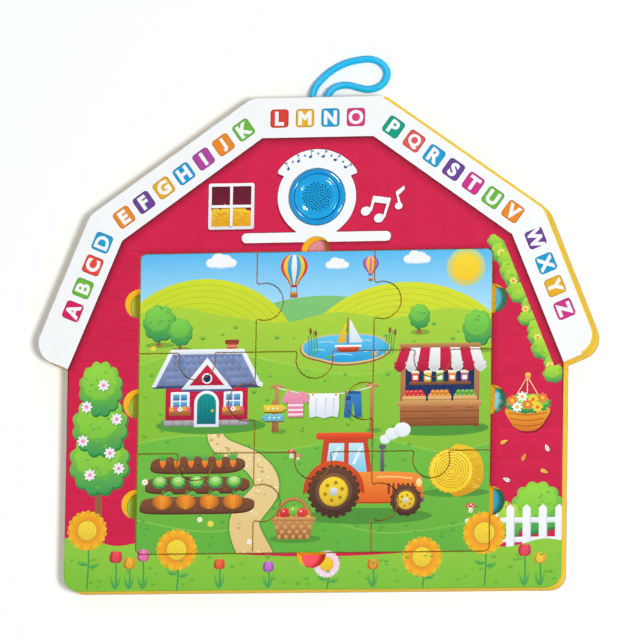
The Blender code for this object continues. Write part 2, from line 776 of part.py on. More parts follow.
def make_bezel():
    """The lid of the housing, with the collar that shows round the button."""
    lip = BEZEL_RADIUS - BEZEL_FACE
    bore = BEZEL_RADIUS - COLLAR_WALL
    rib_in = SPEAKER_RADIUS + SEAT_GAP
    rib_out = rib_in + RIB_THICK
    rib_low = LID_LOW - RIB_DROP
    sound = SPEAKER_RADIUS - SOUND_HOLE_INSET
    ease = BEZEL_ROUND / 3
    profile = [
        (lip + BEZEL_ROUND, LIP_HIGH),
        (BEZEL_RADIUS - BEZEL_ROUND, LIP_HIGH),
        (BEZEL_RADIUS - ease, LIP_HIGH - ease),
        (BEZEL_RADIUS, LIP_HIGH - BEZEL_ROUND),
        (BEZEL_RADIUS, LID_LOW),
        (rib_out, LID_LOW),
        (rib_out, rib_low),
        (rib_in, rib_low),
        (rib_in, LID_LOW),
        (sound, LID_LOW),
        (sound, LID_HIGH),
        (bore, LID_HIGH),
        (bore, LIP_LOW),
        (lip, LIP_LOW),
        (lip, LIP_HIGH - BEZEL_ROUND),
        (lip + ease, LIP_HIGH - ease),
    ]
    bezel = turned("sound_bezel", profile, (0.0, BUTTON_Y, 0.0), BEZEL, steps=32)
    inner = circle(0.0, 0.0, (bore + BEZEL_RADIUS) / 2, 24)
    lid_outlines = [housing_plan(0.0), inner]
    lid = plate(
        "lid_plate", lid_outlines, LID_LOW, LID_THICK, None, cutters, at=(0.0, BUTTON_Y)
    )
    combine(bezel, lid, "UNION")
    clear = PLUNGER_RADIUS + SLIDE_GAP
    plunger_x = plunger_place()
    hole = (plunger_x, BUTTON_Y, LID_LOW - OVERRUN, LID_HIGH + SEAT_GAP, clear)
    combine(bezel, peg("plunger_hole", *hole, 12))
    pilot = SCREW_SHANK_RADIUS + SLIDE_GAP
    for i, (x, y) in enumerate(screw_places()):
        spot = (x, y + BUTTON_Y)
        combine(bezel, peg(f"pilot_{i}", *spot, LID_LOW - OVERRUN, LID_HIGH + OVERRUN, pilot, 12))
    return bezel


def plunger_place():
    """Distance of the cap's plunger from the button's axis: midway from the rib to the collar."""
    rib_out = SPEAKER_RADIUS + SEAT_GAP + RIB_THICK
    return (rib_out + BEZEL_RADIUS - COLLAR_WALL) / 2


def switch_key_top():
    return PARTS_LOW + SWITCH_HEIGHT + SWITCH_KEY_HEIGHT


def make_cap():
    """The cap that is pressed, a thin shell with a flange below and the speaker grille on top."""
    body = BEZEL_RADIUS - BEZEL_FACE - SLIDE_GAP
    flange = BEZEL_RADIUS - COLLAR_WALL - SLIDE_GAP
    inside = body - CAP_WALL
    ring = body * CAP_RING_SHARE
    dish = body * CAP_DISH_SHARE
    ease = CAP_ROUND / 3
    under = CAP_HIGH - DISH_DEPTH - CAP_WALL
    profile = [
        (0.0, CAP_HIGH - DISH_DEPTH),
        (dish, CAP_HIGH - DISH_DEPTH * 2 / 3),
        (ring - ease, CAP_HIGH - ease),
        (ring + ease, CAP_HIGH),
        (body - CAP_ROUND, CAP_HIGH),
        (body - ease, CAP_HIGH - ease),
        (body, CAP_HIGH - CAP_ROUND),
        (body, FLANGE_HIGH),
        (flange, FLANGE_HIGH),
        (flange, FLANGE_LOW),
        (inside, FLANGE_LOW),
        (inside, under),
        (0.0, under),
    ]
    cap = turned("press_cap", profile, (0.0, BUTTON_Y, 0.0), CAP, steps=32, closed=False)
    low = switch_key_top() + SEAT_GAP + CAP_TRAVEL
    high = FLANGE_LOW + CAP_FLANGE / 2
    pin = peg("plunger", plunger_place(), BUTTON_Y, low, high, PLUNGER_RADIUS, 12)
    combine(cap, pin, "UNION")
    combine(cap, grille_cutter(body * GRILLE_SHARE, under))
    return cap


def grille_cutter(reach, under):
    """Pegs for the sound holes, set out on a sunflower spiral, in one cutter."""
    golden = math.pi * (3 - math.sqrt(5))
    form = bmesh.new()
    for i in range(GRILLE_HOLES):
        radius = reach * math.sqrt((i + 0.5) / GRILLE_HOLES)
        turn = i * golden
        made = bmesh.ops.create_cone(
            form,
            cap_ends=True,
            segments=6,
            radius1=GRILLE_HOLE_RADIUS,
            radius2=GRILLE_HOLE_RADIUS,
            depth=CAP_WALL + 2 * OVERRUN,
        )
        shift = (radius * math.cos(turn), radius * math.sin(turn), 0.0)
        bmesh.ops.translate(form, vec=shift, verts=made["verts"])
    mesh = bpy.data.meshes.new("grille_cutter")
    form.to_mesh(mesh)
    form.free()
    return place("grille_cutter", mesh, (0.0, BUTTON_Y, under + CAP_WALL / 2), None, cutters)


def make_spring():
    """The coil that lifts the cap, round the sound hole and inside the cap's skirt."""
    sound = SPEAKER_RADIUS - SOUND_HOLE_INSET
    inside = BEZEL_RADIUS - BEZEL_FACE - SLIDE_GAP - CAP_WALL
    radius = (sound + inside) / 2
    low = LID_HIGH + SEAT_GAP + SPRING_WIRE_RADIUS
    high = CAP_HIGH - DISH_DEPTH - CAP_WALL - SEAT_GAP - SPRING_WIRE_RADIUS
    steps = SPRING_TURNS * SPRING_POINTS_PER_TURN
    points = []
    for i in range(steps + 1):
        turn = 2 * math.pi * i / SPRING_POINTS_PER_TURN
        z = low + (high - low) * i / steps
        points.append((radius * math.cos(turn), radius * math.sin(turn) + BUTTON_Y, z))
    at = (0.0, BUTTON_Y, 0.0)
    tube("cap_return_spring", points, SPRING_WIRE_RADIUS, METAL, resolution=1, at=at)


def make_speaker():
    magnet = [
        (0.0, PARTS_LOW + MAGNET_THICK),
        (MAGNET_RADIUS, PARTS_LOW + MAGNET_THICK),
        (MAGNET_RADIUS, PARTS_LOW),
        (0.0, PARTS_LOW),
    ]
    at = (0.0, BUTTON_Y, 0.0)
    turned("speaker_magnet", magnet, at, MAGNET, steps=24, closed=False)
    low = PARTS_LOW + MAGNET_THICK + SEAT_GAP
    high = HOUSING_RIM
    seat = high - SPEAKER_RIM
    bowl = MAGNET_RADIUS + SPEAKER_SURROUND
    inner = SPEAKER_RADIUS - SPEAKER_SURROUND
    floor = low + BASKET_FLOOR
    basket = [
        (0.0, floor),
        (MAGNET_RADIUS, floor),
        (inner, seat + SEAT_GAP),
        (inner, high),
        (SPEAKER_RADIUS, high),
        (SPEAKER_RADIUS, seat),
        (bowl, low),
        (0.0, low),
    ]
    turned("speaker_basket", basket, at, METAL, steps=32, closed=False)
    rim = inner - SEAT_GAP
    dome = MAGNET_RADIUS / 2
    dip = floor + SEAT_GAP
    cone = [
        (0.0, dip + CONE_THICK + dome / 4),
        (dome / 2, dip + CONE_THICK + dome / 5),
        (dome, dip + CONE_THICK),
        (rim, high),
        (rim, high - CONE_THICK),
        (dome, dip),
        (dome / 2, dip + dome / 5),
        (0.0, dip + dome / 4),
    ]
    turned("speaker_cone", cone, at, CONE, steps=32, closed=False)


def make_circuit():
    half = CAVITY_HALF - SEAT_GAP
    low = CAVITY_LOW + POST_SIZE - HOUSING_WALL + SEAT_GAP
    outline = rectangle(-half, half, low, CAVITY_TOP - SEAT_GAP)
    at = (0.0, BUTTON_Y)
    plate("circuit_board", [outline], CIRCUIT_LOW, CIRCUIT_THICK, CIRCUIT, at=at)
    chip = [
        (0.0, CHIP_HEIGHT),
        (CHIP_RADIUS / 2, CHIP_HEIGHT * 7 / 8),
        (CHIP_RADIUS * 7 / 8, CHIP_HEIGHT / 2),
        (CHIP_RADIUS, 0.0),
        (0.0, 0.0),
    ]
    chip_x = -(SPEAKER_RADIUS + CAVITY_HALF) / 2
    chip_at = (chip_x, BUTTON_Y - CHIP_RADIUS, PARTS_LOW)
    turned("sound_chip", chip, chip_at, CHIP, steps=20, closed=False)
    key_x = plunger_place()
    half = SWITCH_SIZE / 2
    top = PARTS_LOW + SWITCH_HEIGHT
    sides = (key_x - half, key_x + half, BUTTON_Y - half, BUTTON_Y + half)
    switch = block("tact_switch", *sides, PARTS_LOW, top, CHIP, parts)
    key_low = top - SWITCH_KEY_HEIGHT / 2
    key = peg("switch_key", key_x, BUTTON_Y, key_low, switch_key_top(), SWITCH_KEY_RADIUS, 12)
    combine(switch, key, "UNION")


def cell_place(index):
    return (index - (CELL_COUNT - 1) / 2) * CELL_PITCH


def make_cells():
    """Three button cells side by side, turned over in turn, so that the strips join them in series."""
    names = ("left", "middle", "right")
    step = CELL_HEIGHT / 9
    neck = CELL_RADIUS * 7 / 8
    for i in range(CELL_COUNT):
        can = [
            (0.0, CELL_HEIGHT),
            (neck - step, CELL_HEIGHT),
            (neck, CELL_HEIGHT - step),
            (CELL_RADIUS, CELL_HEIGHT - step),
            (CELL_RADIUS, 0.0),
            (0.0, 0.0),
        ]
        if i % 2:
            can = [(radius, CELL_HEIGHT - z) for radius, z in reversed(can)]
        at = (cell_place(i), BUTTON_Y + BAY_MIDDLE, CELL_LOW)
        turned(f"button_cell_{names[i]}", can, at, METAL, steps=24, closed=False)


def contact_plate(name, outline, surface=METAL):
    """A bent strip: its outline is in X and Z, and it is STRIP_WIDTH across."""
    strip = plate(name, [outline], -STRIP_WIDTH / 2, STRIP_WIDTH, surface)
    strip.rotation_euler = (math.pi / 2, 0.0, 0.0)
    strip.location = (0.0, BUTTON_Y + BAY_MIDDLE, 0.0)
    return strip


def make_contacts():
    """The strips at the ends of the row, with tabs up to the wires, and the two that bridge cells."""
    outer = BAY_HALF - SEAT_GAP
    inner = outer - STRIP_THICK
    tab_top = CEILING_HIGH + HEADROOM / 3
    side_low = CELL_LOW + CELL_HEIGHT / 3
    side = [(-outer, side_low), (-inner, side_low), (-inner, tab_top), (-outer, tab_top)]
    contact_plate("contact_positive", side)
    reach = cell_place(CELL_COUNT - 1)
    high = STRIP_LOW + STRIP_THICK
    top = [
        (reach, STRIP_LOW),
        (outer, STRIP_LOW),
        (outer, tab_top),
        (inner, tab_top),
        (inner, high),
        (reach, high),
    ]
    contact_plate("contact_negative", top)
    far = STRIP_OVERLAP
    for name, index, low in (("inner", 0, STRIP_LOW), ("door", 1, DOOR_STRIP_LOW)):
        left, right = cell_place(index) - far, cell_place(index + 1) + far
        spot = BUTTON_Y + BAY_MIDDLE
        sides = (left, right, spot - STRIP_WIDTH / 2, spot + STRIP_WIDTH / 2)
        block(f"contact_bridge_{name}", *sides, low, low + STRIP_THICK, METAL, parts)


def make_door():
    outline = rectangle(DOOR_LEFT, DOOR_RIGHT, DOOR_START, DOOR_END, DOOR_CORNER)
    at = (0.0, BUTTON_Y)
    door = plate("battery_door", [outline], HOUSING_BACK, DOOR_THICK, HOUSING, at=at)
    combine(door, screw_hole_cutter("door_hole", DOOR_SCREW_X, BAY_MIDDLE, DOOR_TOP + OVERRUN))
    make_screw("door_screw", DOOR_SCREW_X, BAY_MIDDLE, HOUSING_BACK, DOOR_SCREW_LENGTH)


def make_wires():
    """Leads from the end strips and from the speaker to the circuit board."""
    tab_x = BAY_HALF - SEAT_GAP - STRIP_THICK / 2
    tab_y = BAY_MIDDLE - STRIP_WIDTH / 2 - SEAT_GAP
    wall_y = BAY_START
    run_z = CEILING_HIGH + SEAT_GAP + WIRE_RADIUS
    drop_y = CAVITY_TOP - SEAT_GAP - 5 * WIRE_RADIUS
    for name, side, paint in (("red", -1, RED_WIRE), ("black", 1, BLACK_WIRE)):
        x = side * tab_x
        turn_y = (wall_y + drop_y) / 2
        route = [
            (x, tab_y, run_z),
            (x, wall_y, run_z),
            (x, turn_y, run_z - WIRE_RADIUS / 2),
            (x, drop_y + WIRE_RADIUS / 2, run_z - 4 * WIRE_RADIUS),
            (x, drop_y, run_z - 8 * WIRE_RADIUS),
            (x, drop_y, PARTS_LOW),
        ]
        path = [(px, py + BUTTON_Y, pz) for px, py, pz in route]
        tube(f"battery_wire_{name}", path, WIRE_RADIUS, paint)
    rim_x = SPEAKER_RADIUS - 2 * WIRE_RADIUS
    rim_z = HOUSING_RIM - SPEAKER_RIM - 2 * SEAT_GAP
    foot_x = rim_x + 4 * WIRE_RADIUS
    for name, side, paint in (("red", 1, RED_WIRE), ("black", -1, BLACK_WIRE)):
        y = BUTTON_Y + side * MAGNET_RADIUS / 2
        route = [
            (-rim_x, y, rim_z),
            (-rim_x - WIRE_RADIUS, y, rim_z - 2 * WIRE_RADIUS),
            (-foot_x, y, PARTS_LOW + 2 * WIRE_RADIUS),
            (-foot_x, y, PARTS_LOW),
        ]
        tube(f"speaker_wire_{name}", route, WIRE_RADIUS, paint)


def shade_round_pieces():
    """Round surfaces shade smoothly, and edges stay crisp."""
    for piece in parts.objects:
        piece.data.shade_smooth()
        piece.data.set_sharp_from_angle(angle=math.radians(35))


make_front_frame()
make_back_board()
plate("floor_picture", [window_outline(SEAT_GAP)], FOAM_LOW, SHEET_THICK, SHEET)
make_pieces()
make_cord()
make_housing()
make_housing_screws()
make_bezel()
make_cap()
make_spring()
make_speaker()
make_circuit()
make_cells()
make_contacts()
make_door()
make_wires()
shade_round_pieces()
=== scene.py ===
import math
import random

import bpy
import numpy as np
from mathutils import Matrix, Vector
from mathutils.geometry import delaunay_2d_cdt, interpolate_bezier


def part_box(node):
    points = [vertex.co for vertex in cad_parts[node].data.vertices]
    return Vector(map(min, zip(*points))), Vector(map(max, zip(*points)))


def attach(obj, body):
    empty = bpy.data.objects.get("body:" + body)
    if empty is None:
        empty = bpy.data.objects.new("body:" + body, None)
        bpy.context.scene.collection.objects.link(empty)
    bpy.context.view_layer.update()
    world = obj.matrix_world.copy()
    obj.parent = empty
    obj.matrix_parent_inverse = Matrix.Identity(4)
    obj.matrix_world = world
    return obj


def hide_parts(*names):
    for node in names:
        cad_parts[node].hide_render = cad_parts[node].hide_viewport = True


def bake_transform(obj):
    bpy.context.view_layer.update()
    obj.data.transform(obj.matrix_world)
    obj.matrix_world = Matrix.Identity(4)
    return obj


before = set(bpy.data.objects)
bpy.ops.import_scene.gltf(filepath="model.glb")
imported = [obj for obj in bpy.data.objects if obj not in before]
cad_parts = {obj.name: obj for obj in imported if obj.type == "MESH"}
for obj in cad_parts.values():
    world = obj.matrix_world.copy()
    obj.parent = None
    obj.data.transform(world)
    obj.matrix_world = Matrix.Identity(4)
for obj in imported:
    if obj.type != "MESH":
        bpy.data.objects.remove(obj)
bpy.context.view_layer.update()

# Plan sizes in millimetres, as in the part
MM = 0.001
PIECE_WIDTH, PIECE_HEIGHT = 76.93, 65.0
KERF = 0.5
KNOB_RADIUS, KNOB_REACH, KNOB_FILLET = 12.0, 5.5, 1.6
WINDOW_CORNER, NOTCH_RADIUS = 4.0, 9.4
SIDE_BORDER, SILL_HEIGHT = 46.5, 23.4
RIDGE_HALF, KNEE_INSET, KNEE_DROP = 43.9, 12.6, 74.45
EAVE_OVERHANG, EAVE_DROP = 24.0, 164.65
ROOF_CORNER, FOOT_CORNER = 13.8, 10.0
ROW_NAMES = ("top", "middle", "bottom")
COLUMN_NAMES = ("left", "centre", "right")
ARC_STEP = math.radians(6)
CURVE_STEPS = 8

frame_low, frame_high = (np.array(corner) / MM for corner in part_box("front_frame"))
FOOT_Y, RIDGE_Y = frame_low[1], frame_high[1]
WINDOW_HALF = 3 * PIECE_WIDTH / 2
WINDOW_LOW = FOOT_Y + SILL_HEIGHT
WINDOW_HIGH = WINDOW_LOW + 3 * PIECE_HEIGHT
WALL_HALF = WINDOW_HALF + SIDE_BORDER
EAVE_HALF = WALL_HALF + EAVE_OVERHANG
KNEE_HALF = WALL_HALF - KNEE_INSET
cap_low, cap_high = (np.array(corner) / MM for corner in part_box("press_cap"))
housing_low, housing_high = (np.array(corner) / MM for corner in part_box("module_housing"))
bezel_low, bezel_high = (np.array(corner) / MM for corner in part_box("sound_bezel"))
BUTTON_Y = 94.3


# Camera

VIEW_TILT = math.radians(14.5)
VIEW_TURN = math.radians(36)
VIEW_WIDTH = 0.4094
VIEW_AIM = (0.0033, 0.0143, 0.018)
LENS = 500.0
SENSOR = 36.0


def make_camera():
    """A long lens that looks down on the face from its lower right."""
    lens = bpy.data.cameras.new("camera")
    lens.lens = LENS
    lens.sensor_width = SENSOR
    camera = bpy.data.objects.new("camera", lens)
    bpy.context.scene.collection.objects.link(camera)
    lean = math.sin(VIEW_TILT)
    back = Vector((lean * math.cos(VIEW_TURN), -lean * math.sin(VIEW_TURN), math.cos(VIEW_TILT)))
    along = Vector((1, 0, 0)) - back * back.x
    upward = Vector((0, 1, 0)) - back * back.y
    right = (along.normalized() + upward.normalized().cross(back)).normalized()
    up = back.cross(right)
    turn = Matrix((right, up, back)).transposed().to_4x4()
    place = Vector(VIEW_AIM) + back * (VIEW_WIDTH * LENS / SENSOR)
    camera.matrix_world = Matrix.Translation(place) @ turn
    bpy.context.scene.camera = camera


make_camera()


# Material nodes


def linear(colour):
    """A colour of 0 to 255, as it looks on screen, as linear light."""
    shares = [level / 255 for level in colour]
    return tuple(s / 12.92 if s <= 0.04045 else ((s + 0.055) / 1.055) ** 2.4 for s in shares)


class Surface:
    """A Principled material with a few helpers for its nodes."""

    def __init__(self, name, roughness=0.5, metallic=0.0, **inputs):
        self.material = bpy.data.materials.new(name)
        self.material.use_nodes = True
        self.tree = self.material.node_tree
        self.shader = self.tree.nodes["Principled BSDF"]
        self.shader.inputs["Roughness"].default_value = roughness
        self.shader.inputs["Metallic"].default_value = metallic
        for key, value in inputs.items():
            self.shader.inputs[key.replace("_", " ")].default_value = value
        self.bumps = []

    def node(self, kind, inputs=None, **settings):
        made = self.tree.nodes.new("ShaderNode" + kind)
        for key, value in settings.items():
            setattr(made, key, value)
        for key, value in (inputs or {}).items():
            if isinstance(value, bpy.types.NodeSocket):
                self.tree.links.new(value, made.inputs[key])
            else:
                made.inputs[key].default_value = value
        return made

    def place(self):
        return self.node("TexCoord").outputs["Object"]

    def noise(self, scale, detail=2.0, vector=None):
        made = self.node(
            "TexNoise", {"Scale": scale, "Detail": detail, "Vector": vector or self.place()}
        )
        return made.outputs["Fac"]

    def cells(self, scale, feature="F1", randomness=1.0):
        made = self.node("TexVoronoi", feature=feature)
        made.inputs["Scale"].default_value = scale
        made.inputs["Randomness"].default_value = randomness
        self.tree.links.new(self.place(), made.inputs["Vector"])
        return made.outputs["Distance"]

    def between(self, value, low, high, from_low=0.3, from_high=0.7):
        inputs = {"Value": value, "From Min": from_low, "From Max": from_high}
        inputs.update({"To Min": low, "To Max": high})
        return self.node("MapRange", inputs).outputs["Result"]

    def blend(self, share, first, second, mode="MIX"):
        made = self.node("Mix", data_type="RGBA", blend_type=mode)
        for socket, value in (
            (made.inputs[0], share), (made.inputs[6], first), (made.inputs[7], second)
        ):
            if isinstance(value, bpy.types.NodeSocket):
                self.tree.links.new(value, socket)
            elif socket == made.inputs[0]:
                socket.default_value = value
            else:
                socket.default_value = (*value, 1.0)
        return made.outputs[2]

    def colour(self, value):
        if isinstance(value, bpy.types.NodeSocket):
            self.tree.links.new(value, self.shader.inputs["Base Color"])
        else:
            self.shader.inputs["Base Color"].default_value = (*value, 1.0)

    def rough(self, value):
        self.tree.links.new(value, self.shader.inputs["Roughness"])

    def bump(self, height, distance, strength=1.0):
        inputs = {"Height": height, "Distance": distance, "Strength": strength}
        if self.bumps:
            inputs["Normal"] = self.bumps[-1]
        self.bumps.append(self.node("Bump", inputs).outputs["Normal"])
        self.tree.links.new(self.bumps[-1], self.shader.inputs["Normal"])


def film_material():
    """Printed film over foam: the print, a satin film and the foam's faint dimples under it."""
    film = Surface("printed_film", roughness=0.36, Specular_IOR_Level=0.16)
    ink = film.node("Attribute", attribute_name="ink").outputs["Color"]
    mottle = film.between(film.noise(90.0, 3.0), 0.985, 1.015)
    grain = film.between(film.noise(2600.0, 1.0), 0.99, 1.01)
    tone = film.node("Math", {0: mottle, 1: grain}, operation="MULTIPLY").outputs[0]
    film.colour(
        film.blend(
            1.0, ink, film.node("CombineColor", {0: tone, 1: tone, 2: tone}).outputs[0], "MULTIPLY"
        )
    )
    film.rough(film.between(film.noise(420.0, 2.0), 0.31, 0.42))
    film.bump(film.noise(520.0, 2.0), 0.00012, 0.35)
    film.bump(film.noise(3200.0, 1.0), 0.00002, 0.25)
    return film.material


def foam_material(name="foam_core", glow=0.0):
    """Closed-cell foam where the knife cut it: small cells, some open, with painted shade in the pit of each,
    paler and darker patches, and where asked a faint glow of its own as painted light.
    """
    foam = Surface(name, roughness=0.75, Specular_IOR_Level=0.2)
    patch = foam.between(foam.noise(160.0, 3.0), 0.0, 1.0)
    base = foam.blend(patch, linear((248, 200, 34)), linear((253, 210, 52)))
    # Painted shade: each cell is darker towards its middle, where the bump sinks it into a pit.
    pore_pit_shade = foam.between(foam.cells(1500.0), 0.0, 1.0, 0.05, 0.42)
    foam.colour(foam.blend(pore_pit_shade, linear((230, 172, 20)), base))
    # Painted light: an emission that makes the foam glow faintly, though it is no lamp.
    if glow:
        foam.shader.inputs["Emission Color"].default_value = (*linear((255, 226, 60)), 1.0)
        foam.shader.inputs["Emission Strength"].default_value = glow
    foam.rough(foam.between(foam.noise(900.0), 0.66, 0.86))
    foam.bump(foam.cells(1500.0), 0.00012, 0.7)
    foam.bump(foam.noise(260.0, 3.0), 0.0002, 0.4)
    return foam.material


def board_material():
    """Pressed board with a laid fibre and a few darker specks."""
    board = Surface("backing_board", roughness=0.7)
    fibre = board.node("Mapping", {"Vector": board.place(), "Scale": (1.0, 6.0, 1.0)}).outputs[0]
    shade = board.between(board.noise(240.0, 4.0, fibre), 0.0, 1.0)
    base = board.blend(shade, linear((172, 162, 136)), linear((190, 180, 156)))
    specks = board.between(board.noise(1900.0, 1.0), 0.0, 1.0, 0.66, 0.72)
    board.colour(board.blend(specks, base, linear((128, 116, 92))))
    board.rough(board.between(board.noise(700.0, 2.0), 0.62, 0.82))
    board.bump(board.noise(900.0, 3.0, fibre), 0.0001, 0.4)
    return board.material


def gloss_material(name, colour, dark, roughness=0.16):
    """Injection-moulded gloss plastic with faint flow marks and handling haze."""
    plastic = Surface(name, roughness=roughness, Coat_Weight=0.3, Coat_Roughness=0.06)
    flow = plastic.between(plastic.noise(70.0, 3.0), 0.0, 1.0)
    plastic.colour(plastic.blend(flow, linear(dark), linear(colour)))
    plastic.rough(plastic.between(plastic.noise(300.0, 3.0), roughness - 0.04, roughness + 0.08))
    plastic.bump(plastic.noise(140.0, 2.0), 0.0001, 0.12)
    return plastic.material


def housing_material():
    """Spark-textured white plastic."""
    shell = Surface("housing_plastic", roughness=0.45)
    shell.colour(
        shell.blend(
            shell.between(shell.noise(60.0, 2.0), 0, 1), linear((226, 225, 220)),
            linear((236, 235, 231))
        )
    )
    shell.rough(shell.between(shell.noise(1200.0, 2.0), 0.4, 0.56))
    shell.bump(shell.noise(2600.0, 2.0), 0.00004, 0.6)
    return shell.material


def metal_material():
    """Plated steel with fine drawn lines and a little tarnish."""
    metal = Surface("plated_steel", roughness=0.3, metallic=1.0)
    drawn = metal.node("Mapping", {"Vector": metal.place(), "Scale": (1.0, 14.0, 1.0)}).outputs[0]
    tarnish = metal.between(metal.noise(180.0, 3.0), 0.0, 1.0, 0.45, 0.75)
    metal.colour(metal.blend(tarnish, linear((205, 206, 208)), linear((172, 168, 158))))
    metal.rough(metal.between(metal.noise(900.0, 2.0, drawn), 0.2, 0.42))
    metal.bump(metal.noise(1400.0, 2.0, drawn), 0.00002, 0.3)
    return metal.material


def plain_material(name, colour, other, roughness, scale, bump=0.00005):
    """A matt or satin material with two tones and a fine grain."""
    made = Surface(name, roughness=roughness)
    made.colour(
        made.blend(made.between(made.noise(scale, 3.0), 0.0, 1.0), linear(colour), linear(other))
    )
    made.rough(made.between(made.noise(scale * 2, 2.0), roughness - 0.06, roughness + 0.08))
    made.bump(made.noise(scale * 3, 2.0), bump, 0.5)
    return made.material


def circuit_material():
    """Green solder mask with paler copper tracks under it."""
    board = Surface("circuit_green", roughness=0.35)
    tracks = board.node("TexBrick", {"Vector": board.place(), "Scale": 260.0}).outputs["Fac"]
    board.colour(board.blend(tracks, linear((22, 104, 52)), linear((38, 138, 72))))
    board.rough(board.between(board.noise(500.0), 0.3, 0.42))
    board.bump(tracks, 0.00004, 0.5)
    return board.material


FILM = film_material()
FOAM = foam_material()
# Painted light: the foam of the notch walls glows faintly of its own.
NOTCH_FOAM_GLOW = foam_material("foam_notch_glow", 0.2)
BOARD = board_material()
CAP_BLUE = gloss_material("button_blue", (0, 174, 236), (0, 164, 228), 0.1)
BEZEL_BLUE = gloss_material("bezel_blue", (0, 158, 224), (0, 148, 214), 0.12)
HOUSING = housing_material()
METAL = metal_material()
CIRCUIT = circuit_material()
MAGNET = plain_material("magnet_grey", (70, 70, 74), (88, 88, 92), 0.5, 400.0)
PAPER = plain_material("speaker_paper", (46, 44, 44), (66, 62, 60), 0.8, 700.0, 0.0001)
CHIP = plain_material("chip_black", (34, 34, 38), (48, 48, 52), 0.3, 300.0)
WIRE_RED = plain_material("wire_red", (200, 30, 30), (214, 44, 40), 0.45, 500.0)
WIRE_BLACK = plain_material("wire_black", (34, 34, 36), (50, 50, 52), 0.45, 500.0)


def cord_material():
    """Braided cord: two sets of crossing yarns, painted darker in the grooves between them and paler on their
    crowns as painted shade and highlight, with a faint sheen.
    """
    cord = Surface("cord_blue", roughness=0.55, Specular_IOR_Level=0.25, Sheen_Weight=0.08)
    weave = cord.node("Attribute", attribute_name="weave").outputs["Fac"]
    # Painted shade and highlight: the yarns are darker in the grooves and paler on their crowns.
    colour = cord.blend(weave, linear((0, 160, 220)), linear((0, 200, 255)))
    cord.colour(
        cord.blend(cord.between(cord.noise(1400.0, 2.0), 0.0, 0.2), colour, linear((40, 214, 255)))
    )
    cord.rough(cord.between(cord.noise(1800.0, 2.0), 0.45, 0.68))
    cord.bump(cord.noise(3600.0, 2.0), 0.00003, 0.6)
    return cord.material


CORD = cord_material()


# Outlines in plan, in millimetres


def arc(x, y, radius, start, end):
    count = max(2, math.ceil(abs(end - start) / ARC_STEP))
    turns = np.linspace(start, end, count + 1)
    return [(x + radius * math.cos(turn), y + radius * math.sin(turn)) for turn in turns]


def filleted(corners):
    """The outline through (x, y, radius) corners, each rounded by its radius."""
    outline = []
    for i, (x, y, radius) in enumerate(corners):
        here = Vector((x, y))
        if radius == 0:
            outline.append((x, y))
            continue
        back = (Vector(corners[i - 1][:2]) - here).normalized()
        ahead = (Vector(corners[(i + 1) % len(corners)][:2]) - here).normalized()
        half_angle = back.angle(ahead) / 2
        centre = here + (back + ahead).normalized() * radius / math.sin(half_angle)
        first = here + back * radius / math.tan(half_angle) - centre
        last = here + ahead * radius / math.tan(half_angle) - centre
        start = math.atan2(first.y, first.x)
        sweep = math.atan2(first.cross(last), first.dot(last))
        outline += arc(centre.x, centre.y, radius, start, start + sweep)
    return outline


def under_eave():
    """Height where the eave's underside meets the wall."""
    slope_x, slope_y = EAVE_HALF - KNEE_HALF, KNEE_DROP - EAVE_DROP
    return RIDGE_Y - EAVE_DROP + EAVE_OVERHANG * slope_x / slope_y


def barn_outline():
    right = [
        (WALL_HALF, FOOT_Y, FOOT_CORNER),
        (WALL_HALF, under_eave(), 0.0),
        (EAVE_HALF, RIDGE_Y - EAVE_DROP, ROOF_CORNER),
        (KNEE_HALF, RIDGE_Y - KNEE_DROP, ROOF_CORNER),
        (RIDGE_HALF, RIDGE_Y, ROOF_CORNER),
    ]
    left = [(-x, y, radius) for x, y, radius in reversed(right)]
    return filleted(right + left)


def window_outline(inset):
    """The window with its finger notches, drawn in by inset all round."""
    half = WINDOW_HALF - inset
    low, high = WINDOW_LOW + inset, WINDOW_HIGH - inset
    corner, radius = WINDOW_CORNER - inset, NOTCH_RADIUS - inset
    lead = math.asin(inset / radius)
    rows = [WINDOW_HIGH - PIECE_HEIGHT * (row + 0.5) for row in range(3)]
    sides = (
        [(0.0, WINDOW_LOW)],
        [(WINDOW_HALF, y) for y in reversed(rows)],
        [(0.0, WINDOW_HIGH)],
        [(-WINDOW_HALF, y) for y in rows],
    )
    ends = ((half, low), (half, high), (-half, high), (-half, low))
    outline = []
    for i, (x, y) in enumerate(ends):
        away = (i - 1) * math.pi / 2
        for notch_x, notch_y in sides[i]:
            outline += arc(
                notch_x, notch_y, radius, away - math.pi / 2 - lead, away + math.pi / 2 + lead
            )
        middle_x = x - math.copysign(corner, x)
        middle_y = y + corner if y == low else y - corner
        outline += arc(middle_x, middle_y, corner, away, away + math.pi / 2)
    return outline


def knob_side(length, knob):
    """One side of a piece as (along, out) points, with its knob (1), its socket (-1) or neither (0)."""
    if knob == 0:
        return []
    grow = -knob * KERF / 2
    middle = length / 2
    spread = math.sqrt((KNOB_RADIUS + KNOB_FILLET) ** 2 - (KNOB_REACH - KNOB_FILLET) ** 2)
    tilt = math.atan2(KNOB_REACH - KNOB_FILLET, spread)
    fillet = KNOB_FILLET - grow
    points = arc(middle - spread, KNOB_FILLET, fillet, -math.pi / 2, tilt)
    points += arc(middle, KNOB_REACH, KNOB_RADIUS + grow, math.pi + tilt, -tilt)[1:-1]
    points += arc(middle + spread, KNOB_FILLET, fillet, math.pi - tilt, 3 * math.pi / 2)
    return [(along, knob * out) for along, out in points]


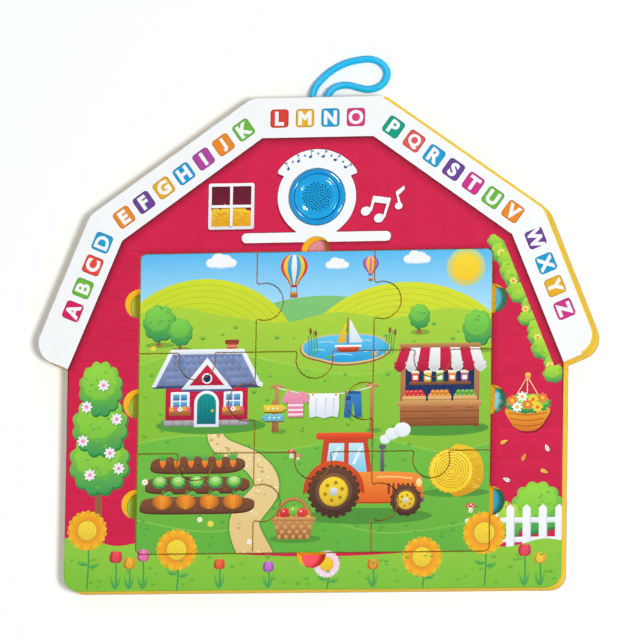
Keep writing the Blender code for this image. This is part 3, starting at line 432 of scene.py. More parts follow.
def piece_outline(row, column):
    """A piece in plan, anticlockwise from its lower left corner."""
    across = 1 if row % 2 == 0 else -1
    knobs = (
        1 if row < 2 else 0,
        across if column < 2 else 0,
        -1 if row > 0 else 0,
        -across if column > 0 else 0,
    )
    middle_x = (column - 1) * PIECE_WIDTH
    middle_y = WINDOW_HIGH - (row + 0.5) * PIECE_HEIGHT
    directions = ((1, 0), (0, 1), (-1, 0), (0, -1))
    outline = []
    for side, (sign_x, sign_y) in enumerate(((-1, -1), (1, -1), (1, 1), (-1, 1))):
        before, after = knobs[side - 1], knobs[side]
        gaps = [KERF / 2 if knob else KERF for knob in (before, after)]
        gap_x, gap_y = gaps if side % 2 == 0 else gaps[::-1]
        x = sign_x * (PIECE_WIDTH / 2 - gap_x)
        y = sign_y * (PIECE_HEIGHT / 2 - gap_y)
        if before == 0 and after == 0:
            radius = WINDOW_CORNER - KERF
            start = math.pi + side * math.pi / 2
            outline += arc(x - sign_x * radius, y - sign_y * radius, radius, start, start + math.pi / 2)
        else:
            outline.append((x, y))
        direction = Vector(directions[side])
        outward = Vector((direction.y, -direction.x))
        corner = Vector((sign_x * PIECE_WIDTH / 2, sign_y * PIECE_HEIGHT / 2))
        for along, out in knob_side(PIECE_HEIGHT if side % 2 else PIECE_WIDTH, after):
            outline.append(tuple(corner + direction * along + outward * out))
    return [(x + middle_x, y + middle_y) for x, y in outline]


def housing_plan(grow):
    low, high = housing_low[1] - grow, housing_high[1] + grow
    half = housing_high[0] + grow
    corners = ((-half, low), (half, low), (half, high), (-half, high))
    return filleted([(x, y, 4.0 + grow) for x, y in corners])


# Shapes in plan


def turning(points):
    """Twice the signed area: above zero where the points run anticlockwise."""
    x, y = points[:, 0], points[:, 1]
    return float((x * np.roll(y, -1) - np.roll(x, -1) * y).sum())


def anticlockwise(points):
    points = np.asarray(points, float)
    return points if turning(points) > 0 else points[::-1]


def grown(points, by):
    """An outline moved outward by a distance, or inward where it is below zero."""
    points = anticlockwise(points)
    ahead = np.roll(points, -1, 0) - points
    ahead /= np.linalg.norm(ahead, axis=1)[:, None]
    normal = np.c_[ahead[:, 1], -ahead[:, 0]]
    both = normal + np.roll(normal, 1, 0)
    both /= np.maximum(np.linalg.norm(both, axis=1), 1e-6)[:, None]
    reach = by / np.maximum((both * normal).sum(1), 0.5)
    return points + both * reach[:, None]


def at(points, x, y, size=1.0, turn=0.0):
    """Points scaled, turned and moved to a place."""
    c, s = math.cos(turn), math.sin(turn)
    return np.asarray(points, float) * size @ np.array(((c, s), (-s, c))) + (x, y)


def oval(x, y, half_x, half_y=None, turn=0.0, count=None):
    half_y = half_x if half_y is None else half_y
    count = count or max(10, int(8 + 1.6 * max(half_x, half_y)))
    angles = np.linspace(0, 2 * math.pi, count, endpoint=False)
    return at(np.c_[half_x * np.cos(angles), half_y * np.sin(angles)], x, y, 1.0, turn)


def box_shape(left, low, right, high, radius=0.0):
    corners = ((left, low), (right, low), (right, high), (left, high))
    return np.array(filleted([(x, y, radius) for x, y in corners]))


def smooth_point(p0, p1, p2, p3, t):
    """The point a share t of the way from p1 to p2, on a smooth curve through all four."""
    even, odd = 2 * p0 - 5 * p1 + 4 * p2 - p3, 3 * p1 - p0 - 3 * p2 + p3
    return (2 * p1 + (p2 - p0) * t + even * t**2 + odd * t**3) / 2


def curve(points, closed=True, steps=CURVE_STEPS):
    """A smooth curve through points in the plane or in space."""
    points = np.asarray(points, float)
    if closed:
        knots = np.r_[points[-1:], points, points[:2]]
    else:
        knots = np.r_[[2 * points[0] - points[1]], points, [2 * points[-1] - points[-2]]]
    fours = zip(knots, knots[1:], knots[2:], knots[3:])
    made = [smooth_point(*four, step / steps) for four in fours for step in range(steps)]
    if not closed:
        made.append(points[-1])
    return np.array(made)


def ribbon(points, width, end_width=None):
    """A line of a given width along open points, as an outline."""
    points = np.asarray(points, float)
    end_width = width if end_width is None else end_width
    ahead = np.gradient(points, axis=0)
    ahead /= np.linalg.norm(ahead, axis=1)[:, None]
    side = np.c_[-ahead[:, 1], ahead[:, 0]]
    half = np.linspace(width, end_width, len(points))[:, None] / 2
    return np.r_[points - side * half, (points + side * half)[::-1]]


def crown(x, y, half_x, half_y, lobes, depth=0.12, turn=0.0):
    """A rounded mass with scalloped edges, such as leaves."""
    angles = np.linspace(0, 2 * math.pi, lobes * 7, endpoint=False)
    reach = 1 + depth * (np.abs(np.sin(lobes * angles / 2)) - 1)
    return at(np.c_[half_x * reach * np.cos(angles), half_y * reach * np.sin(angles)], x, y, 1.0, turn)


# The print: shapes in painting order, each with an even blend between two colours


class Sheet:
    def __init__(self):
        self.shapes = []

    def paint(self, points, colour, low_colour=None, axis=None):
        """Adds a shape. The blend runs along axis, or else from the shape's top to its bottom."""
        points = anticlockwise(points)
        if axis is None:
            x = points[:, 0].mean()
            axis = (x, points[:, 1].max(), x, points[:, 1].min())
        first = np.array(linear(colour))
        second = np.array(linear(low_colour or colour))
        self.shapes.append((points, first, second, np.array(axis, float), points.min(0), points.max(0)))


def shade(shape, points):
    """The shape's colour at points."""
    _, first, second, axis, _, _ = shape
    start, along = axis[:2], axis[2:] - axis[:2]
    share = np.clip((points - start) @ along / max(along @ along, 1e-9), 0, 1)
    return first + (second - first) * share[:, None]


front = Sheet()
floor_sheet = Sheet()



# Meshes


# EDGE_SHADE is painted shade: the share by which the ink darkens at each cut, standing in for shade in the
# gaps between parts.
EDGE_REACH, EDGE_DROP, EDGE_SHADE = 0.5, 0.35, 0.4
EDGE_STEPS = (0.08, 0.22, 0.5)


class Form:
    """A mesh in the making, in millimetres: corners of each face with normals and inks."""

    def __init__(self):
        self.corners, self.normals, self.inks = [], [], []
        self.sizes, self.slots = [], []

    def face(self, corners, normals, slot=0, inks=None):
        self.corners.extend(corners)
        self.normals.extend(normals)
        self.inks.extend(inks if inks is not None else [(1.0, 1.0, 1.0)] * len(corners))
        self.sizes.append(len(corners))
        self.slots.append(slot)

    def walls(self, upper, lower, slot=1):
        """Quads between two rings of points that run anticlockwise about the solid, seen from above."""
        upper, lower = np.asarray(upper, float), np.asarray(lower, float)
        along = np.roll(upper, -1, 0) - upper
        side = np.cross(along, lower - upper)
        side = -side / np.maximum(np.linalg.norm(side, axis=1), 1e-9)[:, None]
        before = np.roll(side, 1, 0)
        soft = (side * before).sum(1) > math.cos(math.radians(35))
        both = side + before
        both /= np.maximum(np.linalg.norm(both, axis=1), 1e-9)[:, None]
        count = len(upper)
        for i in range(count):
            j = (i + 1) % count
            here = both[i] if soft[i] else side[i]
            there = both[j] if soft[j] else side[i]
            corners = (upper[j], upper[i], lower[i], lower[j])
            self.face(corners, (there, here, here, there), slot)

    def level(self, loops, z, up, slot=1):
        """A flat face inside the first loop and outside the others."""
        points, triangles, _ = triangulated(loops)
        normal = (0.0, 0.0, 1.0 if up else -1.0)
        for triangle in triangles:
            ids = triangle if up else triangle[::-1]
            self.face([(*points[i], z) for i in ids], [normal] * 3, slot)

    def build(self, name, materials, smooth=True):
        corners = np.asarray(self.corners, float)
        keys = np.round(corners * 1e4).astype(np.int64)
        _, first, ids = np.unique(keys, axis=0, return_index=True, return_inverse=True)
        ids = ids.reshape(-1)
        starts = np.r_[0, np.cumsum(self.sizes)]
        faces, kept, slots = [], [], []
        for i, slot in enumerate(self.slots):
            face = ids[starts[i] : starts[i + 1]].tolist()
            if len(set(face)) < len(face):
                if len(set(face)) < 3:
                    continue
                picked = [k for k in range(len(face)) if face[k] != face[k - 1]]
            else:
                picked = range(len(face))
            faces.append([face[k] for k in picked])
            kept.extend(starts[i] + k for k in picked)
            slots.append(slot)
        mesh = bpy.data.meshes.new(name)
        mesh.from_pydata((corners[first] * MM).tolist(), [], faces)
        for material in materials:
            mesh.materials.append(material)
        mesh.polygons.foreach_set("material_index", slots)
        inks = np.ones((len(kept), 4), np.float32)
        inks[:, :3] = np.asarray(self.inks)[kept]
        ink = mesh.color_attributes.new("ink", "FLOAT_COLOR", "CORNER")
        ink.data.foreach_set("color", inks.ravel())
        if smooth:
            mesh.shade_smooth()
            mesh.normals_split_custom_set(np.asarray(self.normals, float)[kept].tolist())
        made = bpy.data.objects.new(name, mesh)
        bpy.context.scene.collection.objects.link(made)
        return made


def inside(loop, points):
    """Which of the points the loop runs round."""
    a, b = loop, np.roll(loop, -1, 0)
    found = np.zeros(len(points), bool)
    for k in range(0, len(points), 4000):
        x, y = points[k : k + 4000, 0, None], points[k : k + 4000, 1, None]
        rises = (a[:, 1] > y).astype(int) - (b[:, 1] > y)
        rise = np.where(b[:, 1] == a[:, 1], 1.0, b[:, 1] - a[:, 1])
        reach = a[:, 0] + (b[:, 0] - a[:, 0]) * (y - a[:, 1]) / rise
        found[k : k + 4000] = (rises * (x < reach)).sum(1) != 0
    return found


def triangulated(loops, lines=(), shapes=()):
    """Triangles inside the first loop and outside the others, each with the last shape that covers it."""
    places, faces, edges = [], [], []
    for k, points in enumerate([*map(anticlockwise, loops), *lines, *shapes]):
        start = len(places)
        places.extend(Vector(point) for point in points.tolist())
        ids = list(range(start, len(places)))
        if k < len(loops):
            faces.append(ids)
        else:
            edges += list(zip(ids, ids[1:] + ids[:1]))
    points, _, made, _, _, origins = delaunay_2d_cdt(places, edges, faces, 1, 1e-5, True)
    points = np.array([tuple(point) for point in points])
    triangles = np.array(
        [tuple(corners) for corners, origin in zip(made, origins) if list(origin) == [0]]
    )
    middles = points[triangles].mean(1)
    tops = np.full(len(triangles), -1)
    for k, shape in enumerate(shapes):
        near = np.flatnonzero(((middles > shape.min(0)) & (middles < shape.max(0))).all(1))
        tops[near[inside(shape, middles[near])]] = k
    return points, triangles.tolist(), tops.tolist()


def edge_chains(triangles):
    """The closed runs of points along the outer and inner edges. The solid is on their left."""
    directed = {(t[i], t[(i + 1) % 3]) for t in triangles for i in range(3)}
    follow = {a: b for a, b in directed if (b, a) not in directed}
    chains = []
    while follow:
        first = min(follow)
        chain, here = [], first
        while here in follow:
            chain.append(here)
            here = follow.pop(here)
        chains.append(chain)
    return chains


def to_edge(points, loops):
    """Each point's distance to the nearest outline, and the direction from there to the point."""
    starts = np.concatenate([anticlockwise(loop) for loop in loops])
    along = np.concatenate([np.roll(anticlockwise(loop), -1, 0) for loop in loops]) - starts
    squares = (along**2).sum(1)
    distances, directions = np.empty(len(points)), np.empty((len(points), 2))
    for k in range(0, len(points), 500):
        apart = points[k : k + 500, None] - starts
        share = np.clip((apart * along).sum(2) / squares, 0, 1)
        apart = apart - along * share[..., None]
        length = np.linalg.norm(apart, axis=2)
        best = length.argmin(1)
        rows = np.arange(len(best))
        distances[k : k + 500] = length[rows, best]
        directions[k : k + 500] = apart[rows, best] / np.maximum(length[rows, best], 1e-9)[:, None]
    return distances, directions


def rounding(distance):
    """How far the film has sunk at a distance from the cut, and how steeply."""
    share = np.clip(1 - distance / EDGE_REACH, 0, 1)
    root = np.sqrt(1 - 0.97 * share**2)
    return EDGE_DROP * (1 - root), EDGE_DROP * 0.97 * share / root / EDGE_REACH


def printed_top(form, loops, high, sheet, blank=(255, 255, 255)):
    """The printed film over the loops, rounded over at every cut, its ink darkened towards each cut as painted
    shade. Returns the points along its edges.
    """
    lines = []
    for step in EDGE_STEPS:
        lines += [grown(loop, -step if k == 0 else step) for k, loop in enumerate(loops)]
    low_corner, high_corner = np.min(loops[0], 0), np.max(loops[0], 0)
    shapes = [s for s in sheet.shapes if (s[4] < high_corner).all() and (s[5] > low_corner).all()]
    points, triangles, tops = triangulated(loops, lines, [s[0] for s in shapes])
    distances, directions = to_edge(points, loops)
    inward = np.where(distances[:, None] > 1e-4, directions, 0)
    sunk, slope = rounding(distances)
    normals = np.c_[-inward * slope[:, None], np.ones(len(points))]
    normals /= np.linalg.norm(normals, axis=1)[:, None]
    places = np.c_[points, high - sunk]
    plain = np.array(linear(blank))
    # Painted shade: the ink darkens towards each cut.
    edge = 1 - EDGE_SHADE * np.clip(1 - distances / EDGE_REACH, 0, 1)[:, None] ** 1.5
    for triangle, top in zip(triangles, tops):
        inks = shade(shapes[top], points[triangle]) if top >= 0 else [plain] * 3
        form.face(places[triangle], normals[triangle], 0, inks * edge[triangle])
    return [places[chain] for chain in edge_chains(triangles)]


def sunk_to(chain, z):
    return np.c_[chain[:, :2], np.full(len(chain), z)]


def printed_plate(name, loops, low, high, sheet, materials):
    """A die-cut plate with a printed top."""
    form = Form()
    chains = printed_top(form, loops, high, sheet)
    for chain in chains:
        form.walls(chain, sunk_to(chain, low))
    largest = max(chains, key=lambda chain: np.ptp(chain[:, 0]))
    holes = [chain for chain in chains if chain is not largest]
    form.level([largest[:, :2]] + [hole[:, :2] for hole in holes], low, False)
    return form.build(name, materials)


def z_range(node):
    low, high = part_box(node)
    return low.z / MM, high.z / MM


def circle_points(radius, count, x=0.0, y=BUTTON_Y):
    return oval(x, y, radius, count=count)


HOLE_STEPS = 64
CORD_RADIUS = 2.3
CORD_EXITS = (-6.3, 3.3)
CORD_HEIGHT = 6.0


def make_frame():
    """The tray's foam layer, with its pocket for the sound module."""
    low, high = z_range("front_frame")
    pocket_z = z_range("housing_screw_1")[1] + 0.6
    loops = [barn_outline(), window_outline(0.0), circle_points(18.65, HOLE_STEPS)]
    form = Form()
    chains = printed_top(form, loops, high, front)
    chains.sort(key=lambda chain: -np.ptp(chain[:, 0]))
    outer, window, button = chains
    ridge_wall(form, outer, low)
    window_wall(form, window, low)
    form.walls(button, sunk_to(button, pocket_z))
    pocket = anticlockwise(housing_plan(0.3))
    form.level([pocket, button[:, :2]], pocket_z, False)
    inner = pocket[::-1]
    form.walls(sunk_to(inner, pocket_z), sunk_to(inner, low))
    form.level([outer[:, :2], window[:, :2], pocket], low, False)
    return form.build("tray_foam", [FILM, FOAM, NOTCH_FOAM_GLOW])


def window_wall(form, chain, low):
    """The window's wall. In the finger notches the foam has a faint glow of its own, painted light that
    brightens the walls there as if light came through the foam.
    """
    wall = Form()
    wall.walls(chain, sunk_to(chain, low))
    for i, (x, y, _) in enumerate(chain):
        notch = abs(x) > WINDOW_HALF + 0.5 or not WINDOW_LOW - 0.5 < y < WINDOW_HIGH + 0.5
        form.face(wall.corners[4 * i : 4 * i + 4], wall.normals[4 * i : 4 * i + 4], 2 if notch else 1)


def ridge_wall(form, chain, low):
    """The outer wall. Where the cord goes in, it has two drilled holes."""
    lower = sunk_to(chain, low)
    flat = np.abs(chain[:, 1] - RIDGE_Y) < 1e-3
    count = len(chain)
    whole = [flat[i] and flat[(i + 1) % count] for i in range(count)]
    start = next(i for i in range(count) if whole[i] and not whole[i - 1])
    run = [start]
    while whole[run[-1]]:
        run.append((run[-1] + 1) % count)
    wall = Form()
    wall.walls(chain, lower)
    for i in range(count):
        if not whole[i]:
            form.face(wall.corners[4 * i : 4 * i + 4], wall.normals[4 * i : 4 * i + 4], 1)
    edge = [(chain[i][0], chain[i][2]) for i in run]
    edge += [(chain[i][0], low) for i in reversed(run)]
    holes = [oval(x, CORD_HEIGHT, CORD_RADIUS + 0.3, count=28) for x in CORD_EXITS]
    points, triangles, _ = triangulated([np.array(edge)] + holes)
    for triangle in triangles:
        corners = [(points[i][0], RIDGE_Y, points[i][1]) for i in triangle[::-1]]
        form.face(corners, [(0.0, 1.0, 0.0)] * 3, 1)
    deep = RIDGE_Y - 9.0
    for hole in holes:
        x, z = hole.mean(0)
        for i in range(len(hole)):
            a, b = hole[i], hole[(i + 1) % len(hole)]
            corners = (
                (a[0], RIDGE_Y, a[1]), (b[0], RIDGE_Y, b[1]), (b[0], deep, b[1]), (a[0], deep, a[1])
            )
            normals = [(x - corner[0], 0.0, z - corner[2]) for corner in corners]
            form.face(corners, [Vector(normal).normalized() for normal in normals], 1)
        ring = [(point[0], deep, point[1]) for point in hole]
        form.face(ring[::-1], [(0.0, 1.0, 0.0)] * len(ring), 1)


def turned_form(form, profile, steps, slot=0, middle=(0.0, BUTTON_Y)):
    """A ring turned about the button's axis from (radius, height) points that run clockwise with Z up."""
    profile = [tuple(point) for point in profile]
    count = len(profile)
    ahead = [np.array(profile[(i + 1) % count]) - profile[i] for i in range(count)]
    sides = [np.array((-step[1], step[0])) / max(np.hypot(*step), 1e-9) for step in ahead]
    angles = np.linspace(0, 2 * math.pi, steps + 1)

    def spot(point, angle):
        return (
            middle[0] + point[0] * math.cos(angle), middle[1] + point[0] * math.sin(angle), point[1]
        )

    def facing(i, k, angle):
        side, other = sides[i], sides[(i + k) % count]
        both = side + other if side @ other > math.cos(math.radians(40)) else side
        both = both / np.hypot(*both)
        return (both[0] * math.cos(angle), both[0] * math.sin(angle), both[1])

    for i in range(count):
        here, there = profile[i], profile[(i + 1) % count]
        if here[0] < 1e-6 and there[0] < 1e-6:
            continue
        for a, b in zip(angles, angles[1:]):
            corners = (spot(there, a), spot(there, b), spot(here, b), spot(here, a))
            normals = (facing(i, 1, a), facing(i, 1, b), facing(i, -1, b), facing(i, -1, a))
            form.face(corners, normals, slot)


CAP_PROFILE = (
    (0.0, -0.88), (6.0, -0.86), (9.0, -0.84), (9.8, -0.78), (10.25, -0.62), (10.65, -0.30),
    (11.05, -0.08),
    (11.55, 0.0), (12.05, -0.07), (12.5, -0.19), (12.95, -0.22), (13.4, -0.13), (13.8, -0.06),
    (14.1, -0.14),
    (14.35, -0.32), (14.55, -0.62),
)
CAP_STEPS = 112
GRILLE_HOLES = 98
GRILLE_RADIUS = 0.54
GRILLE_REACH = 9.3
FLANGE_HIGH, FLANGE_LOW, CAP_UNDER = 17.1, 16.1, 17.4
FLANGE_RADIUS, SKIRT_INSIDE = 16.75, 13.25


def cap_height():
    """The cap's top as fine (radius, height, slope) rows."""
    points = curve(CAP_PROFILE, closed=False, steps=10)
    radii = np.maximum.accumulate(points[:, 0])
    keep = np.r_[True, np.diff(radii) > 1e-6]
    radii, heights = radii[keep], points[keep, 1] + cap_high[2]
    return radii, heights, np.gradient(heights, radii)


def make_cap():
    """The cap that is pressed, with its ring, its dish and the spiral of sound holes."""
    radii, heights, slopes = cap_height()
    golden = math.pi * (3 - math.sqrt(5))
    holes = []
    for i in range(GRILLE_HOLES):
        reach = GRILLE_REACH * math.sqrt((i + 0.5) / GRILLE_HOLES)
        x, y = reach * math.cos(i * golden), BUTTON_Y + reach * math.sin(i * golden)
        holes.append(oval(x, y, GRILLE_RADIUS, count=10))
    rim = circle_points(CAP_PROFILE[-1][0], CAP_STEPS)
    steps = (*np.arange(9.9, 14.2, 0.16), 14.25, 14.33, 14.4, 14.46, 14.51)
    lines = [circle_points(radius, CAP_STEPS) for radius in steps]
    points, triangles, _ = triangulated([rim] + holes, lines)
    apart = points - (0.0, BUTTON_Y)
    reach = np.hypot(*apart.T)
    z = np.interp(reach, radii, heights)
    slope = np.interp(reach, radii, slopes)
    normals = np.c_[-apart / np.maximum(reach, 1e-6)[:, None] * slope[:, None], np.ones(len(points))]
    normals /= np.linalg.norm(normals, axis=1)[:, None]
    places = np.c_[points, z]
    form = Form()
    for triangle in triangles:
        form.face(places[triangle], normals[triangle], 0)
    chains = sorted((places[chain] for chain in edge_chains(triangles)), key=lambda c: -np.ptp(c[:, 0]))
    outer, openings = chains[0], chains[1:]

    def ring(radius, height):
        share = radius / CAP_PROFILE[-1][0]
        return np.c_[outer[:, :2] * share + (0.0, BUTTON_Y * (1 - share)), np.full(len(outer), height)]

    rings = [
        outer, ring(14.55, FLANGE_HIGH), ring(FLANGE_RADIUS, FLANGE_HIGH),
        ring(FLANGE_RADIUS, FLANGE_LOW)
    ]
    rings += [ring(SKIRT_INSIDE, FLANGE_LOW), ring(SKIRT_INSIDE, CAP_UNDER)]
    for upper, lower in zip(rings, rings[1:]):
        form.walls(upper, lower, 0)
    for opening in openings:
        form.walls(opening, sunk_to(opening, CAP_UNDER), 0)
    form.level([rings[-1][:, :2]] + [opening[:, :2] for opening in openings], CAP_UNDER, False, 0)
    plunger_x = (cap_low[0] + cap_high[0]) / 2 + 15.725
    pin = circle_points(0.9, 16, plunger_x)
    form.walls(sunk_to(pin, FLANGE_LOW + 0.2), sunk_to(pin, cap_low[2]), 0)
    form.level([pin], FLANGE_LOW + 0.2, True, 0)
    form.level([pin], cap_low[2], False, 0)
    return form.build("press_button", [CAP_BLUE])


def make_bezel():
    """The fixed ring round the cap, and the lid of the sound module that it stands on."""
    low, high = bezel_low[2], bezel_high[2]
    lid_low, lid_high = 12.6, 14.3
    profile = [
        (14.85, high - 0.75), (14.92, high - 0.42), (15.08, high - 0.18), (15.35, high - 0.04),
        (15.75, high),
        (16.4, high), (16.95, high - 0.06), (17.45, high - 0.19), (17.85, high - 0.38),
        (18.15, high - 0.64),
        (18.3, high - 0.92), (18.35, high - 1.25), (18.35, lid_low), (14.4, lid_low), (14.4, low),
        (13.8, low),
        (13.8, lid_low), (11.6, lid_low), (11.6, lid_high), (17.05, lid_high), (17.05, 17.4),
        (14.85, 17.4),
    ]
    form = Form()
    turned_form(form, profile, CAP_STEPS)
    ring = form.build("sound_bezel_ring", [BEZEL_BLUE])
    lid = Form()
    outline, hole = anticlockwise(housing_plan(0.0)), circle_points(17.9, CAP_STEPS)
    lid.walls(sunk_to(outline, lid_high), sunk_to(outline, lid_low), 0)
    lid.walls(sunk_to(hole[::-1], lid_high), sunk_to(hole[::-1], lid_low), 0)
    lid.level([outline, hole], lid_high, True, 0)
    lid.level([outline, hole], lid_low, False, 0)
    return ring, lid.build("sound_module_lid", [BEZEL_BLUE])


def make_board():
    form = Form()
    low, high = z_range("back_board")
    outline, opening = anticlockwise(barn_outline()), anticlockwise(housing_plan(0.3))
    ease = 0.15
    face = grown(outline, -ease)
    hole = grown(opening, ease)
    form.walls(sunk_to(face, high), sunk_to(outline, high - ease), 0)
    form.walls(sunk_to(outline, high - ease), sunk_to(outline, low + ease), 0)
    form.walls(sunk_to(outline, low + ease), sunk_to(face, low), 0)
    form.walls(sunk_to(opening[::-1], high), sunk_to(opening[::-1], low + ease), 0)
    form.walls(sunk_to(opening[::-1], low + ease), sunk_to(hole[::-1], low), 0)
    form.level([face, opening], high, True, 0)
    form.level([face, hole], low, False, 0)
    return form.build("backing_panel", [BOARD])


# Cord handle

CORD_ROUTE = (
    (-0.0062, 0.00405, 0.0056), (-0.0048, 0.00885, 0.0042), (-0.0016, 0.01355, 0.0029),
    (0.0030, 0.01795, 0.0024),
    (0.0086, 0.02165, 0.0024), (0.0152, 0.02455, 0.0024), (0.0222, 0.02615, 0.0024),
    (0.0292, 0.02675, 0.0024),
    (0.0352, 0.02535, 0.0024), (0.0398, 0.02175, 0.0024), (0.0417, 0.01685, 0.0024),
    (0.0400, 0.01165, 0.0024),
    (0.0354, 0.00805, 0.0024), (0.0294, 0.00695, 0.0024), (0.0232, 0.00815, 0.0024),
    (0.0176, 0.00975, 0.0024),
    (0.0124, 0.00985, 0.0027), (0.0076, 0.00815, 0.0038), (0.0044, 0.00435, 0.0054),
)
YARNS = 8
YARN_PITCH = 17.0
CORD_SIDES = 32


def make_cord():
    """The loop that the tray is carried by, lying on the table. The route is the part's own."""
    ridge = RIDGE_Y * MM
    left, right = (x * MM for x in CORD_EXITS)
    near, far = ridge + 0.0003, ridge + 0.0003 + CORD_RADIUS * MM / 2
    height = CORD_HEIGHT * MM
    route = [(x, ridge + past, z) for x, past, z in CORD_ROUTE]
    knots = [
        (left, near, height), (left, far, height), *route, (right, far, height), (right, near, height)
    ]
    line = curve(knots, False, 22)
    length = np.r_[0, np.cumsum(np.linalg.norm(np.diff(line, axis=0), axis=1))]
    count = int(length[-1] / 0.00045)
    spots = np.linspace(0, length[-1], count)
    line = np.c_[[np.interp(spots, length, line[:, k]) for k in range(3)]].T
    ahead = np.gradient(line, axis=0)
    ahead /= np.linalg.norm(ahead, axis=1)[:, None]
    side = np.cross(ahead, (0.0, 0.0, 1.0))
    side /= np.linalg.norm(side, axis=1)[:, None]
    over = np.cross(side, ahead)
    angles = np.linspace(0, 2 * math.pi, CORD_SIDES, endpoint=False)
    lay = spots[:, None] / MM * 2 * math.pi / YARN_PITCH
    one = np.abs(np.cos(YARNS * (angles + lay) / 2))
    two = np.abs(np.cos(YARNS * (angles - lay) / 2))
    weave = np.maximum(one, two)
    reach = (CORD_RADIUS - 0.16 * (1 - weave)) * MM
    places = line[:, None] + reach[..., None] * (
        side[:, None] * np.cos(angles)[None, :, None] + over[:, None] * np.sin(angles)[None, :, None]
    )
    faces = []
    for i in range(count - 1):
        for k in range(CORD_SIDES):
            m = (k + 1) % CORD_SIDES
            faces.append((
                i * CORD_SIDES + k, (i + 1) * CORD_SIDES + k, (i + 1) * CORD_SIDES + m,
                i * CORD_SIDES + m
            ))
    faces.append(tuple(range(CORD_SIDES)))
    faces.append(tuple((count - 1) * CORD_SIDES + k for k in reversed(range(CORD_SIDES))))
    mesh = bpy.data.meshes.new("carry_cord")
    mesh.from_pydata(places.reshape(-1, 3).tolist(), [], faces)
    mesh.shade_smooth()
    shown = mesh.attributes.new("weave", "FLOAT", "POINT")
    shown.data.foreach_set("value", (weave.ravel() ** 2).astype(np.float32))
    mesh.materials.append(CORD)
    cord = bpy.data.objects.new("carry_cord", mesh)
    bpy.context.scene.collection.objects.link(cord)
    path = [tuple(point) for point in line[::2].tolist()] + [tuple(line[-1].tolist())]
    return cord, path, float(length[-1])


SPRING_TURNS, SPRING_SIDES, SPRING_STEPS = 3, 10, 36


def make_spring():
    """The coil under the cap, with the points at its foot and its head."""
    low, high = z_range("cap_return_spring")
    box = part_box("cap_return_spring")
    wire = 0.25
    radius = (box[1].x - box[0].x) / MM / 2 - wire
    count = SPRING_TURNS * SPRING_STEPS
    turns = np.linspace(0, 2 * math.pi * SPRING_TURNS, count + 1)
    heights = np.linspace(low + wire, high - wire, count + 1)
    places, faces = [], []
    for turn, height in zip(turns, heights):
        out = np.array((math.cos(turn), math.sin(turn), 0.0))
        centre = out * radius + (0.0, BUTTON_Y, height)
        for k in range(SPRING_SIDES):
            around = 2 * math.pi * k / SPRING_SIDES
            places.append(
                (centre + wire * (out * math.cos(around) + np.array((0, 0, math.sin(around))))) * MM
            )
    for i in range(count):
        for k in range(SPRING_SIDES):
            a, b = i * SPRING_SIDES + k, i * SPRING_SIDES + (k + 1) % SPRING_SIDES
            faces.append((a, a + SPRING_SIDES, b + SPRING_SIDES, b))
    faces.append(tuple(range(SPRING_SIDES)))
    faces.append(tuple(range(len(places) - 1, len(places) - 1 - SPRING_SIDES, -1)))
    mesh = bpy.data.meshes.new("return_spring")
    mesh.from_pydata([tuple(place) for place in places], [], faces)
    mesh.materials.append(METAL)
    mesh.shade_smooth()
    spring = bpy.data.objects.new("return_spring", mesh)
    bpy.context.scene.collection.objects.link(spring)
    return spring, (0.0, BUTTON_Y * MM, (low + 0.2) * MM), (0.0, BUTTON_Y * MM, (high - 0.2) * MM)


# The tray's own print

WHITE = (254, 254, 254)
RED = (217, 28, 75)
DEEP_RED = (120, 8, 36)
TILE_SIZE, TILE_CORNER, LETTER_HEIGHT = 12.0, 2.2, 8.0
MAGENTA, GREEN, SCARLET, CYAN = (214, 48, 140), (112, 188, 66), (236, 74, 62), (24, 160, 214)
ORANGE, PURPLE, AMBER, TEAL = (242, 140, 36), (110, 66, 150), (238, 178, 38), (0, 160, 130)
CRIMSON = (222, 28, 100)
PINK, CORAL, VIOLET, RUBY = (222, 60, 120), (228, 92, 90), (178, 70, 160), (226, 62, 50)
TILES = (
    (
        "A", -159.3, 22.5, 67.7, CRIMSON
    ), ("B", -152.9, 37.3, 67.7, GREEN), ("C", -146.7, 52.1, 67.7, SCARLET),
    ("D", -140.7, 66.8, 67.7, CYAN), (
        "E", -126.6, 83.2, 35.4, ORANGE
    ), ("F", -113.6, 92.6, 35.4, PURPLE),
    (
        "G", -100.7, 101.8, 35.4, AMBER
    ), ("H", -87.6, 110.8, 35.4, CYAN), ("I", -74.8, 120.2, 35.4, VIOLET),
    ("J", -61.9, 129.2, 35.4, ORANGE), ("K", -48.8, 138.6, 35.4, GREEN), ("L", -25.3, 145.6, 0.0, RUBY),
    ("M", -8.6, 145.6, 0.0, AMBER), ("N", 8.1, 145.6, 0.0, CYAN), ("O", 24.8, 145.6, 0.0, PINK),
    ("P", 49.5, 138.6, -35.4, TEAL), ("Q", 63.0, 129.2, -35.4, CORAL), ("R", 76.2, 119.5, -35.4, CYAN),
    ("S", 89.0, 110.3, -35.4, PURPLE), (
        "T", 101.9, 101.1, -35.4, MAGENTA
    ), ("U", 114.8, 91.6, -35.4, GREEN),
    (
        "V", 127.9, 82.3, -35.4, ORANGE
    ), ("W", 142.9, 64.9, -67.7, PURPLE), ("X", 149.8, 48.6, -67.7, CYAN),
    ("Y", 155.8, 33.8, -67.7, AMBER), ("Z", 162.0, 19.0, -67.7, MAGENTA),
)


